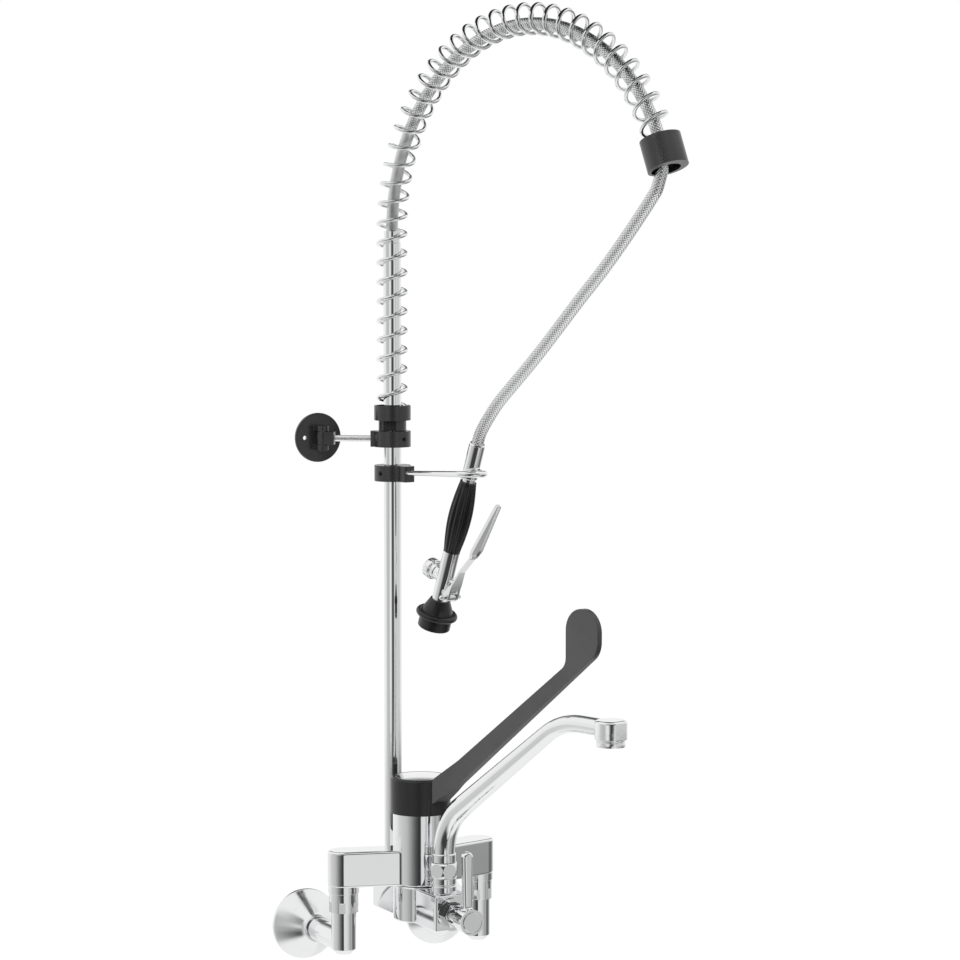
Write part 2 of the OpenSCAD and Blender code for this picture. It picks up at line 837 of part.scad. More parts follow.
module elbow_lever() {
    ceiling_z = pivot_z + hub_ceiling;
    socket_w = stem_w + 2 * seat_clear;
    cap_z = hub_z + hub_h - cap_rim;
    color(charcoal)
        at_plane(body_y)
            difference() {
                union() {
                    translate([0, 0, hub_z])
                        rounded_disc(hub_r, hub_h, hub_round);
                    intersection() {
                        side_slab(2 * lever_root_w)
                            lever_side();
                        linear_extrude(height = 3 * lever_len)
                            lever_plan();
                    }
                }
                translate([0, 0, hub_z - 1])
                    cylinder(r = hub_inner_r, h = ceiling_z - hub_z + 1);
                translate([-socket_w / 2, -socket_w / 2, ceiling_z - 1])
                    cube([socket_w, socket_w, 7 + seat_clear]);
                translate([0, 0, cap_z])
                    cylinder(r = cap_r + seat_clear, h = lever_len);
            }
}

module index_cap() {
    dome = (pow(cap_r, 2) + pow(cap_rise, 2)) / (2 * cap_rise);
    dome_mid = [0, cap_rim + cap_rise - dome];
    cap_z = hub_z + hub_h - cap_rim;
    color(chrome)
        translate([0, body_y, cap_z])
            rotate_extrude()
                polygon(concat([[0, 0], [cap_r, 0]], arc(dome_mid, dome, acos(cap_r / dome), 90, 8)));
}

// Outlet manifold

module outlet_manifold() {
    bar_len = riser_y + manifold_tail - manifold_front_y;
    seal_r = seal_in_r + 2 * seal_t;
    color(chrome)
        difference() {
            union() {
                translate([0, body_y, manifold_z])
                    cylinder(r = body_r, h = manifold_h);
                translate([-manifold_w / 2, manifold_front_y, manifold_z])
                    cube([manifold_w, bar_len, manifold_h]);
            }
            translate([0, body_y, diverter_z])
                cylinder(r = passage_r, h = manifold_h);
            translate([0, body_y, arm_z - seal_t])
                ring(seal_r, seal_in_r, 2 * seal_t);
            translate([0, spout_y, arm_z - bolt_depth])
                cylinder(r = spout_tail_r + 1 + seat_clear, h = manifold_h);
            translate([0, riser_y, arm_z - bolt_depth])
                cylinder(r = riser_r + seat_clear, h = manifold_h);
            translate([0, manifold_front_y - 1, diverter_z])
                rotate([-90, 0, 0])
                    cylinder(r = bonnet_thread_r + seat_clear, h = 13);
        }
}

module manifold_seal() {
    color(black)
        translate([0, body_y, arm_z - seal_t])
            ring(seal_in_r + 2 * seal_t - seat_clear, seal_in_r + seat_clear, seal_t);
}

// Spout

module spout_socket() {
    nut_z0 = arm_z + socket_h;
    top_z = nut_z0 + spout_nut_h - spout_nut_lip - 2;
    groove_z = arm_z + socket_h * 0.45;
    color(chrome)
        translate([0, spout_y, 0])
            difference() {
                union() {
                    translate([0, 0, arm_z - bolt_depth])
                        cylinder(r = spout_tail_r + 1, h = bolt_depth + 1);
                    translate([0, 0, arm_z])
                        cylinder(r = socket_r, h = socket_h);
                    translate([0, 0, nut_z0 - 1])
                        cylinder(r = socket_thread_r, h = top_z - nut_z0 + 1);
                }
                translate([0, 0, groove_z])
                    ring(2 * socket_r, socket_r - socket_groove, 2);
                translate([0, 0, arm_z + 5])
                    cylinder(r = spout_tail_r + run_clear, h = top_z);
                translate([0, 0, arm_z - bolt_depth - 1])
                    cylinder(r = passage_r, h = top_z);
            }
}

module spout_nut() {
    color(chrome)
        translate([0, spout_y, arm_z + socket_h])
            difference() {
                ball_hex(spout_nut_r, spout_nut_h, 0.4);
                translate([0, 0, -1])
                    cylinder(r = socket_thread_r + seat_clear, h = spout_nut_h - spout_nut_lip + 1);
                cylinder(r = spout_tail_r + face_gap, h = spout_nut_h + 1);
            }
}

// Pipe along the spout's centre line, from its base to the middle of the outlet head.
// The bends are a hair thicker than the straights, which run a little way into them.
module spout_run(foot_r, tip_r, level_len) {
    turn = 90 - spout_slope;
    base_top = arm_z + socket_h + spout_nut_h + face_gap + spout_base_h;
    translate([0, 0, base_top]) {
        translate([spout_bend_r, 0, 0])
            rotate([90, 0, 0])
                rotate([0, 0, 180 - turn])
                    rotate_extrude(angle = turn)
                        translate([spout_bend_r, 0])
                            circle(r = foot_r + joint_step);
        translate([spout_bend_r, 0, 0])
            rotate([0, turn, 0])
                translate([-spout_bend_r, 0, 0]) {
                    translate([0, 0, -joint_lap])
                        cylinder(r1 = foot_r, r2 = tip_r, h = spout_rise_len + 2 * joint_lap);
                    translate([spout_top_bend_r, 0, spout_rise_len]) {
                        rotate([90, 0, 0])
                            rotate([0, 0, 180 - spout_slope])
                                rotate_extrude(angle = spout_slope)
                                    translate([spout_top_bend_r, 0])
                                        circle(r = tip_r + joint_step);
                        rotate([0, spout_slope, 0])
                            translate([-spout_top_bend_r, 0, -joint_lap])
                                cylinder(r = tip_r, h = level_len + joint_lap);
                    }
                }
    }
}

function spout_head_s() =
    spout_bend_r * (1 - sin(spout_slope)) + spout_rise_len * cos(spout_slope)
        + spout_top_bend_r * sin(spout_slope) + spout_level_len;

function spout_level_z() =
    arm_z + socket_h + spout_nut_h + face_gap + spout_base_h + spout_bend_r * cos(spout_slope)
        + spout_rise_len * sin(spout_slope) + spout_top_bend_r * (1 - cos(spout_slope));

spout_head_h = 2 * spout_tip_r + spout_head_drop;
spout_head_top = spout_level_z() + spout_tip_r;
spout_head_z = spout_head_top - spout_head_h;

module spout() {
    base_z = arm_z + socket_h + spout_nut_h + face_gap;
    tail_z = arm_z + 5 + face_gap;
    collar_z = arm_z + socket_h + spout_nut_h - spout_nut_lip - face_gap - 1;
    color(chrome)
        at_plane(spout_y)
            difference() {
                union() {
                    translate([0, 0, tail_z])
                        cylinder(r = spout_tail_r, h = base_z - tail_z + 1);
                    translate([0, 0, collar_z])
                        cylinder(r = spout_tail_r + 1.8, h = 1);
                    translate([0, 0, base_z])
                        cylinder(r = spout_base_r, h = spout_base_h + joint_lap);
                    spout_run(spout_r, spout_tip_r, spout_level_len);
                    translate([spout_head_s(), 0, spout_head_z])
                        intersection() {
                            rounded_disc(spout_head_r, spout_head_h, 3);
                            translate([spout_head_flat - 3 * spout_head_r, -2 * spout_head_r, -1])
                                cube([3 * spout_head_r, 4 * spout_head_r, spout_head_h + 2]);
                        }
                }
                translate([0, 0, tail_z - 1])
                    cylinder(r = spout_bore_r - 0.5, h = base_z + spout_base_h + 2 - tail_z);
                spout_run(spout_bore_r, spout_bore_r, spout_level_len);
                translate([spout_head_s(), 0, spout_head_z - 1])
                    cylinder(r = aerator_thread_r + seat_clear, h = spout_level_z() - spout_head_z - 1);
            }
}

module aerator() {
    color(chrome)
        at_plane(spout_y)
            translate([spout_head_s(), 0, spout_head_z])
                difference() {
                    union() {
                        translate([0, 0, -aerator_h])
                            cylinder(r = aerator_r, h = aerator_h);
                        translate([0, 0, -1])
                            cylinder(r = aerator_thread_r, h = aerator_thread_len + 1);
                    }
                    translate([0, 0, -aerator_h - 1])
                        cylinder(r = screen_r + seat_clear, h = aerator_h - 1);
                    translate([0, 0, -aerator_h])
                        cylinder(r = screen_r - 1.5, h = aerator_h + 10);
                    translate([0, 0, -aerator_h * 0.35])
                        ring(2 * aerator_r, aerator_r - 0.8, 1.2);
                }
}

module aerator_screen() {
    hole_r = 0.9;
    color(satin)
        at_plane(spout_y)
            translate([spout_head_s(), 0, spout_head_z - 5])
                difference() {
                    cylinder(r = screen_r, h = 3);
                    for (row = [1 : 2])
                        for (i = [0 : 6 * row - 1])
                            rotate([0, 0, i * 60 / row])
                                translate([row * screen_r * 0.36, 0, -1])
                                    cylinder(r = hole_r, h = 5);
                    translate([0, 0, -1])
                        cylinder(r = hole_r, h = 5);
                }
}

// Diverter

// Local +Z runs forward out of the manifold's front face
module at_diverter() {
    translate([0, manifold_front_y, diverter_z])
        rotate([90, 0, 0])
            children();
}

module diverter_bonnet() {
    color(chrome)
        at_diverter()
            difference() {
                union() {
                    translate([0, 0, -11.7])
                        cylinder(r = bonnet_thread_r, h = 13);
                    cylinder(r = bonnet_r, h = bonnet_len);
                    cylinder(r = bonnet_flange_r, h = bonnet_flange_t);
                    hex_block(bonnet_r + 2.5, bonnet_len * 0.4, 1);
                }
                translate([0, 0, -9])
                    cylinder(r = spindle_r + run_clear, h = bonnet_len + 20);
            }
}

module diverter_spindle() {
    color(satin)
        at_diverter()
            translate([0, 0, -9 + face_gap])
                cylinder(r = spindle_r, h = bonnet_len + diverter_hub_len / 2 + 9);
}

module diverter_handle() {
    hub_start = bonnet_len + face_gap;
    lever_mid = hub_start + diverter_hub_len * 0.42;
    tip_r = diverter_tip_w / 2;
    tip_up = diverter_lever_len - tip_r;
    color(chrome)
        at_diverter()
            difference() {
                union() {
                    translate([0, 0, hub_start])
                        cylinder(r = diverter_hub_r, h = diverter_hub_len);
                    translate([0, 0, lever_mid - diverter_lever_t / 2])
                        linear_extrude(height = diverter_lever_t)
                            polygon(concat(
                                [[-diverter_lever_w / 2, 0], [diverter_lever_w / 2, 0]],
                                arc([0, tip_up], tip_r, 0, 180, 16)
                            ));
                }
                translate([0, 0, hub_start - 1])
                    cylinder(r = spindle_r + seat_clear, h = diverter_hub_len / 2 + 2);
                translate([0, 0, hub_start + diverter_hub_len - 2])
                    cylinder(r = diverter_cap_r + seat_clear, h = 4);
            }
}

module diverter_cap() {
    color(chrome)
        at_diverter()
            translate([0, 0, bonnet_len + face_gap + diverter_hub_len - 2])
                rounded_disc(diverter_cap_r, 3, 0.8);
}

// Riser, spring and hose

module riser_nut() {
    color(chrome)
        translate([0, riser_y, arm_z])
            difference() {
                hex_block(riser_nut_r, riser_nut_h, 1.4);
                translate([0, 0, -1])
                    cylinder(r = riser_r + seat_clear, h = riser_nut_h + 2);
            }
}

module riser_pipe() {
    foot = arm_z - bolt_depth;
    color(chrome)
        translate([0, riser_y, foot])
            ring(riser_r, riser_r - riser_wall, arch_z - coupling_len - foot);
}

module hose_coupling() {
    color(chrome)
        translate([0, riser_y, arch_z - coupling_len])
            union() {
                cylinder(r = coupling_r, h = coupling_len);
                translate([0, 0, -coupling_len])
                    cylinder(r = riser_r - riser_wall - seat_clear, h = coupling_len + 1);
            }
}

module hose_arch() {
    color(braid)
        at_plane(riser_y)
            translate([arch_r, 0, arch_z])
                rotate([90, 0, 0])
                    rotate([0, 0, 180 - hose_angle])
                        rotate_extrude(angle = hose_angle)
                            translate([arch_r, 0])
                                circle(r = hose_r);
}

module spring_seat() {
    cup_z = seat_neck_h;
    color(black)
        translate([0, riser_y, seat_z])
            difference() {
                union() {
                    cylinder(r = seat_neck_r, h = cup_z + 1);
                    translate([0, 0, cup_z])
                        cylinder(r = cup_r, h = seat_cup_h);
                }
                translate([0, 0, -1])
                    cylinder(r = riser_r + seat_clear, h = cup_z + seat_cup_h + 2);
                translate([0, 0, cup_z + seat_cup_h - cup_socket])
                    cylinder(r = cup_in_r, h = cup_socket + 1);
                rotate([0, 0, -27])
                    translate([-2 * seat_neck_r, -seat_neck_r - 20 + seat_flat, -1])
                        cube([seat_neck_r * 2 + 4, 20, cup_z + 0.4]);
            }
}

// Point on the spring's centre line, with the two directions square to it, at a length along it
function spring_frame(l) =
    let (
        straight = arch_z - spring_z,
        a = max(0, l - straight) / arch_r * 180 / PI,
        along = [sin(a), 0, cos(a)],
        point = l < straight
            ? [0, 0, spring_z + l]
            : [arch_r * (1 - cos(a)), 0, arch_z + arch_r * sin(a)]
    )
    [point, [cos(a), 0, -sin(a)], [0, 1, 0], along];

function spring_point(u) =
    let (f = spring_frame(u * spring_len), a = 360 * spring_turns * u)
    f[0] + spring_r * (cos(a) * f[1] + sin(a) * f[2]);

spring_rings = spring_turns * rings_per_turn;
function wire_path() =
    let (
        inner = [for (i = [0 : spring_rings]) spring_point(i / spring_rings)],
        n = len(inner) - 1,
        head = inner[0] - inner[1],
        tail = inner[n] - inner[n - 1]
    )
    concat(
        [inner[0] + wire_d * head / norm(head)],
        inner,
        [inner[n] + wire_d * tail / norm(tail)]
    );

// Rings of a tube along a path, kept from twisting by a fixed hint
function unit(v) = v / norm(v);
function tangent(path, i) =
    unit(path[min(i + 1, len(path) - 1)] - path[max(i - 1, 0)]);

function tube_points(path, r, sides, hints) =
    [for (i = [0 : len(path) - 1])
        let (
            t = tangent(path, i),
            a = unit(cross(t, hints[i])),
            b = cross(a, t)
        )
        for (k = [0 : sides - 1])
            path[i] + r * (cos(360 * k / sides) * a + sin(360 * k / sides) * b)];

function tube_faces(rings, sides) = concat(
    [for (i = [0 : rings - 2]) for (k = [0 : sides - 1])
        let (a = i * sides + k, b = i * sides + (k + 1) % sides)
        each [[a, b, a + sides], [b, b + sides, a + sides]]],
    [for (k = [1 : sides - 2]) [0, k + 1, k]],
    [let (z = (rings - 1) * sides) for (k = [1 : sides - 2]) each [[z, z + k, z + k + 1]]]
);

module tube(path, r, sides, hints) {
    polyhedron(
        points = tube_points(path, r, sides, hints),
        faces = tube_faces(len(path), sides)
    );
}

// Least gap between the wire's points that lie at least half a curl apart
function least_gap(path) =
    min([for (i = [0 : len(path) - 1])
        for (j = [i + rings_per_turn / 2 : min(len(path) - 1, i + 2 * rings_per_turn)])
            if (j > i) norm(path[i] - path[j])]) - wire_d;

module arch_spring() {
    path = wire_path();
    n = len(path) - 1;
    hints = [for (i = [0 : n]) spring_frame(min(1, max(0, (i - 1) / spring_rings)) * spring_len)[3]];
    echo("least gap between the spring's curls", least_gap(path));
    color(chrome)
        at_plane(riser_y)
            tube(path, wire_d / 2, wire_sides, hints);
}

module spring_end_cup() {
    floor_z = wire_drop;
    mouth = floor_z - end_cup_socket;
    color(black)
        at_end_cup()
            difference() {
                translate([0, 0, mouth])
                    cylinder(r = cup_in_r + end_cup_wall, h = end_cup_len);
                translate([0, 0, mouth - 1])
                    cylinder(r = cup_in_r, h = end_cup_socket + 1);
                translate([0, 0, mouth])
                    cylinder(r = end_cup_hole_r, h = end_cup_len);
                translate([0, 0, floor_z + end_cup_floor])
                    cylinder(r = end_cup_mouth_r, h = end_cup_len);
            }
}

module free_hose() {
    path = [for (p = hose_route) [p[0], 0, p[1]]];
    hints = [for (p = hose_route) [0, 1, 0]];
    color(braid)
        at_plane(riser_y)
            tube(path, hose_r, hose_sides, hints);
}

// Clamps, hook and wall stay

// Split ring on the riser: a boss along local +X takes the rod, and a screw stands at an angle from it
module clamp_ring(reach, screw_turn, rod_r, rod_turn, rod_lift) {
    corner = [reach - clamp_boss_round, clamp_boss_w / 2 - clamp_boss_round];
    difference() {
        union() {
            cylinder(r = clamp_r, h = clamp_h);
            linear_extrude(height = clamp_h)
                polygon(concat(
                    [[0, -clamp_boss_w / 2]],
                    arc([corner[0], -corner[1]], clamp_boss_round, -90, 0, 5),
                    arc(corner, clamp_boss_round, 0, 90, 5),
                    [[0, clamp_boss_w / 2]]
                ));
        }
        translate([0, 0, -1])
            cylinder(r = riser_r + seat_clear, h = clamp_h + 2);
        translate([-clamp_r - 1, -clamp_slit / 2, -1])
            cube([clamp_r, clamp_slit, clamp_h + 2]);
        translate([0, 0, clamp_h / 2]) {
            rotate([0, 90 - rod_lift, rod_turn])
                translate([0, 0, rod_start])
                    cylinder(r = rod_r + seat_clear, h = reach);
            rotate([0, 90, screw_turn])
                cylinder(r = clamp_screw_r + seat_clear, h = 2 * clamp_r);
        }
    }
}

rod_start = riser_r + 4;
hook_rod_turn = -asin(hook_loop_r / hook_s);
hook_reach = hook_s * cos(hook_rod_turn);
hook_rod_len = norm([hook_reach, hook_rise]);
hook_rod_lift = atan2(hook_rise, hook_reach);
hook_foot_r = hook_rod_r - hook_rod_taper;
hook_screw_local = hook_screw_turn - plane_turn;
stay_screw_local = plane_turn - 90 - stay_turn;

module hook_clamp() {
    color(black)
        at_plane(riser_y)
            translate([0, 0, hook_clamp_z])
                clamp_ring(hook_boss_reach, hook_screw_local, hook_foot_r, hook_rod_turn, hook_rod_lift);
}

module gun_hook() {
    end_ball_r = hook_rod_r + 0.6;
    taper_start = hook_boss_reach + 2;
    color(chrome)
        at_plane(riser_y)
            translate([0, 0, hook_foot_z]) {
                rotate([0, 90 - hook_rod_lift, hook_rod_turn]) {
                    translate([0, 0, rod_start + face_gap])
                        cylinder(r = hook_foot_r, h = taper_start - rod_start - face_gap);
                    translate([0, 0, taper_start - joint_lap])
                        cylinder(
                            r1 = hook_foot_r - joint_step,
                            r2 = hook_rod_r - joint_step,
                            h = hook_rod_len + 2 * joint_lap - taper_start
                        );
                }
                translate([hook_s, 0, hook_rise])
                    rotate([0, 0, hook_rod_turn - 90]) {
                        rotate_extrude(angle = hook_loop_angle)
                            translate([hook_loop_r, 0])
                                circle(r = hook_rod_r);
                        rotate([0, 0, hook_loop_angle])
                            translate([hook_loop_r, 0, 0])
                                sphere(r = end_ball_r);
                    }
            }
}

module stay_clamp() {
    color(black)
        at_stay()
            translate([0, 0, -clamp_h / 2])
                clamp_ring(stay_boss_reach, stay_screw_local, stay_rod_r, 0, 0);
}

module clamp_screw() {
    difference() {
        translate([0, 0, riser_r + face_gap])
            cylinder(r = clamp_screw_r, h = clamp_r - riser_r - 1);
        translate([0, 0, clamp_r - 3])
            cylinder(r = clamp_screw_r * 0.55, h = 5, $fn = 6);
    }
}

module clamp_screws() {
    color(black) {
        at_plane(riser_y)
            translate([0, 0, hook_foot_z])
                rotate([0, 90, hook_screw_local])
                    clamp_screw();
        at_stay()
            rotate([0, 90, stay_screw_local])
                clamp_screw();
    }
}

stay_block_end = stay_len - knuckle_r - 6;

module stay_rod() {
    color(chrome)
        at_stay()
            rotate([0, 90, 0])
                translate([0, 0, rod_start + face_gap])
                    cylinder(r = stay_rod_r, h = stay_block_end + 4 - rod_start - face_gap);
}

module stay_knuckle() {
    color(black)
        at_stay()
            difference() {
                union() {
                    translate([stay_len, 0, -knuckle_h / 2])
                        cylinder(r = knuckle_r, h = knuckle_h);
                    translate([stay_block_end, -knuckle_r + 0.5, -knuckle_h / 2])
                        cube([stay_len - stay_block_end, 2 * knuckle_r - 1, knuckle_h]);
                }
                translate([stay_len, 0, -knuckle_h])
                    cylinder(r = stay_pin_r + run_clear, h = 2 * knuckle_h);
                translate([stay_block_end - 1, 0, 0])
                    rotate([0, 90, 0])
                        cylinder(r = stay_rod_r + seat_clear, h = 5 + face_gap);
            }
}

module stay_pin() {
    color(satin)
        translate([-plate_left, -plate_pivot_out, stay_z - knuckle_h / 2 - face_gap - ear_t])
            cylinder(r = stay_pin_r, h = knuckle_h + 2 * face_gap + 2 * ear_t);
}

module stay_plate() {
    ear_z = knuckle_h / 2 + face_gap;
    color(black)
        translate([-plate_left, 0, stay_z])
            difference() {
                union() {
                    rotate([90, 0, 0])
                        rounded_disc(plate_r, plate_t, 1.5);
                    for (side = [0, 1])
                        mirror([0, 0, side])
                            translate([0, 0, ear_z]) {
                                translate([0, -plate_pivot_out, 0])
                                    cylinder(r = knuckle_r, h = ear_t);
                                translate([-knuckle_r + 0.5, -plate_pivot_out, 0])
                                    cube([2 * knuckle_r - 1, plate_pivot_out - 1, ear_t]);
                            }
                }
                translate([0, -plate_pivot_out, -plate_r])
                    cylinder(r = stay_pin_r + seat_clear, h = 2 * plate_r);
                for (side = [-1, 1])
                    translate([side * plate_hole_spacing / 2, 1, 0])
                        rotate([90, 0, 0])
                            cylinder(r = plate_hole_r, h = plate_t + 2);
            }
}

// Spray gun, in its own axes: +Z up along the gun from its top, +X to the front

module hose_ferrule() {
    color(chrome)
        at_gun()
            rotate_extrude()
                polygon([
                    [0, grip_z], [gun_neck_r, grip_z], [gun_neck_r, -ferrule_len],
                    [ferrule_r - 0.6, -ferrule_len], [ferrule_r, -ferrule_len + 1.2],
                    [ferrule_r, -2], [ferrule_r - 1, 0], [0, 0]
                ]);
}

// Grip: a barrel whose section has round grooves between its ribs
grip_rings = 14;
grip_points_per_rib = 6;

function grip_radius(v, a) =
    let (
        barrel = grip_end_r + (grip_belly_r - grip_end_r) * sin(180 * v),
        groove = grip_groove * pow(sin(a * grip_ribs / 2), 4) * sqrt(sin(180 * v))
    )
    barrel - groove;

module gun_grip() {
    around = grip_ribs * grip_points_per_rib;
    points = [for (i = [0 : grip_rings]) for (k = [0 : around - 1])
        let (v = i / grip_rings, a = 360 * k / around, r = grip_radius(v, a))
        [r * cos(a), r * sin(a), valve_z + v * grip_len]];
    sides = [for (i = [0 : grip_rings - 1]) for (k = [0 : around - 1])
        let (a = i * around + k, b = i * around + (k + 1) % around)
        each [[a, a + around, b], [b, a + around, b + around]]];
    foot = [for (k = [1 : around - 2]) [0, k, k + 1]];
    top = [for (k = [1 : around - 2]) let (z = grip_rings * around) [z, z + k + 1, z + k]];
    color(black)
        at_gun()
            polyhedron(points = points, faces = concat(sides, foot, top));
}

module gun_valve_body() {
    lug_r = trigger_pin_r + 2.5;
    color(chrome)
        at_gun()
            difference() {
                union() {
                    translate([0, 0, head_z])
                        cylinder(r = valve_r, h = valve_len);
                    translate([0, 0, cross_z])
                        rotate([0, -90, 0])
                            cylinder(r = cross_r, h = cross_reach);
                    translate([0, -lug_half_w, trigger_z - lug_r])
                        cube([trigger_out, 2 * lug_half_w, 2 * lug_r]);
                    translate([trigger_out, 0, trigger_z])
                        rotate([90, 0, 0])
                            cylinder(r = lug_r - 0.1, h = 2 * lug_half_w, center = true);
                }
                translate([0, 0, cross_z])
                    rotate([0, 90, 0])
                        cylinder(r = plunger_r + run_clear, h = 3 * valve_r, center = true);
                translate([-cross_reach + 3, 0, cross_z])
                    rotate([0, -90, 0])
                        cylinder(r = plunger_r + 2.8, h = 10);
                translate([trigger_out, 0, trigger_z])
                    rotate([90, 0, 0])
                        cylinder(r = trigger_pin_r + seat_clear, h = 4 * lug_half_w, center = true);
            }
}

module gun_valve_cover() {
    color(chrome)
        at_gun()
            translate([-cross_reach, 0, cross_z])
                rotate([0, -90, 0])
                    difference() {
                        union() {
                            cylinder(r = cross_r + 0.8, h = cover_len / 2);
                            translate([0, 0, cover_len * 0.35])
                                rounded_disc(cover_r, cover_len * 0.65, cover_round);
                        }
                        translate([0, 0, -1])
                            cylinder(r = plunger_r + 2.8, h = cover_len - 2);
                    }
}

// Centre line of the trigger in the gun's plane, from its fork to its tip
trigger_knee = [trigger_out + 8, trigger_z + 31];
trigger_bend = [trigger_out + 18, trigger_z + 50];
trigger_tip = trigger_bend + trigger_paddle_len * [sin(trigger_splay), cos(trigger_splay)];
trigger_foot = [trigger_out + 3, trigger_z + 8];

// The plunger stops just short of the trigger's inner face, at the lower edge of its flat tip
trigger_lean = atan2(trigger_knee[0] - trigger_foot[0], trigger_knee[1] - trigger_foot[1]);
trigger_at_tip = trigger_foot[0] + (cross_z - plunger_r - trigger_foot[1]) * tan(trigger_lean);
plunger_tip = trigger_at_tip - trigger_t / 2 / cos(trigger_lean) - face_gap;

module gun_plunger() {
    head_front = -cross_reach + 3 - face_gap;
    color(satin)
        at_gun()
            translate([0, 0, cross_z])
                rotate([0, 90, 0]) {
                    translate([0, 0, head_front])
                        cylinder(r = plunger_r, h = plunger_tip - head_front);
                    translate([0, 0, head_front - 3])
                        cylinder(r = plunger_r + 2.3, h = 3);
                }
}

// Flat strip along a line of points in the gun's plane
module strip(points, t) {
    for (i = [0 : len(points) - 2])
        let (p = points[i], q = points[i + 1], d = q - p)
            translate(p)
                rotate([0, 0, atan2(d[1], d[0])])
                    translate([i == 0 ? 0 : -t / 4, -t / 2])
                        square([norm(d) + (i == 0 ? 0 : t / 4), t]);
}

// Outline of the trigger's leaf from the front, drawn in by a margin
function trigger_leaf(margin, neck_w) =
    let (
        foot = [neck_w / 2, trigger_bend[1] + 1 + 1.6 * margin],
        shoulder = [trigger_w / 2 - margin, trigger_bend[1] + 9 + 0.8 * margin],
        side = [trigger_end_w / 2 - margin, trigger_tip[1] - 3],
        end = [max(trigger_end_w / 2 - 1.5 - margin, 0.2), trigger_tip[1] + 2 - 2.2 * margin]
    )
    [
        foot, shoulder, side, end,
        [-end[0], end[1]], [-side[0], side[1]], [-shoulder[0], shoulder[1]], [-foot[0], foot[1]]
    ];

module gun_trigger() {
    cheek_t = 2.5;
    cheek_in = lug_half_w + face_gap;
    cheek_r = trigger_pin_r + 2.6;
    root_w = 2 * (cheek_in + cheek_t);
    neck_w = 7;
    edge = 0.3;
    leaf_w = trigger_w / 2 - edge;
    end_w = trigger_end_w / 2 - edge;
    rim_out = (trigger_rim_h + 0.1) / 2 * [cos(trigger_splay), -sin(trigger_splay)];
    color(satin)
        at_gun()
            difference() {
                union() {
                    intersection() {
                        side_slab(2 * trigger_w)
                            strip([trigger_foot, trigger_knee, trigger_bend, trigger_tip], trigger_t);
                        rotate([90, 0, 90])
                            linear_extrude(height = 3 * trigger_paddle_len)
                                polygon([
                                    [-root_w / 2, trigger_z], [root_w / 2, trigger_z],
                                    [root_w / 2, trigger_foot[1] + 6], [neck_w / 2, trigger_knee[1]],
                                    [neck_w / 2, trigger_bend[1] + 2],
                                    [leaf_w, trigger_bend[1] + 9 + edge], [end_w, trigger_tip[1] - 3],
                                    [end_w - 1.5, trigger_tip[1] + 2], [1.5 - end_w, trigger_tip[1] + 2],
                                    [-end_w, trigger_tip[1] - 3], [-leaf_w, trigger_bend[1] + 9 + edge],
                                    [-neck_w / 2, trigger_bend[1] + 2], [-neck_w / 2, trigger_knee[1]],
                                    [-root_w / 2, trigger_foot[1] + 6]
                                ]);
                    }
                    intersection() {
                        side_slab(2 * trigger_w)
                            translate(rim_out)
                                strip([trigger_bend, trigger_tip], trigger_t + trigger_rim_h - 0.1);
                        rotate([90, 0, 90])
                            linear_extrude(height = 3 * trigger_paddle_len)
                                difference() {
                                    polygon(trigger_leaf(0, neck_w));
                                    polygon(trigger_leaf(trigger_rim, neck_w));
                                }
                    }
                    for (side = [0, 1])
                        mirror([0, side, 0])
                            translate([0, cheek_in + cheek_t, 0])
                                rotate([90, 0, 0])
                                    linear_extrude(height = cheek_t)
                                        polygon(concat(
                                            arc([trigger_out, trigger_z], cheek_r, 160, 370, 14),
                                            [trigger_foot + [2, 6], trigger_foot + [-1, 6]]
                                        ));
                }
                translate([trigger_out, 0, trigger_z])
                    rotate([90, 0, 0])
                        cylinder(r = trigger_pin_r + run_clear, h = 4 * trigger_w, center = true);
            }
}

module trigger_pin() {
    half = lug_half_w + 6.5;
    color(chrome)
        at_gun()
            translate([trigger_out, 0, trigger_z])
                rotate([90, 0, 0]) {
                    cylinder(r = trigger_pin_r, h = 2 * half, center = true);
                    for (side = [-1, 1])
                        translate([0, 0, side * half])
                            sphere(r = pin_ball_r);
                }
}

module spray_bumper() {
    ring_z = head_z - head_len * 0.52;
    skirt_z = head_z - head_len;
    color(black)
        at_gun()
            difference() {
                union() {
                    rotate_extrude()
                        polygon(concat(
                            [[0, skirt_z], [head_r - 1, skirt_z], [head_r, skirt_z + 1], [head_r, ring_z]],
                            [[head_r - 1, ring_z + 4], [head_r - 2.4, ring_z + 8]],
                            [[head_top_r, head_z], [0, head_z]]
                        ));
                    translate([0, 0, ring_z])
                        rotate_extrude()
                            translate([bumper_r - bumper_section_r, 0])
                                circle(r = bumper_section_r);
                }
                translate([0, 0, skirt_z - 1])
                    cylinder(r = rose_r + seat_clear, h = rose_t + 2.5);
                translate([0, 0, skirt_z - 1])
                    cylinder(r = passage_r, h = head_len + 2);
            }
}

module spray_rose() {
    hole_r = 0.8;
    color(charcoal)
        at_gun()
            translate([0, 0, head_z - head_len + 1.5])
                difference() {
                    cylinder(r = rose_r, h = rose_t);
                    for (row = [1 : 3])
                        for (i = [0 : 6 * row - 1])
                            rotate([0, 0, i * 60 / row])
                                translate([row * rose_r * 0.27, 0, -1])
                                    cylinder(r = hole_r, h = rose_t + 2);
                }
}

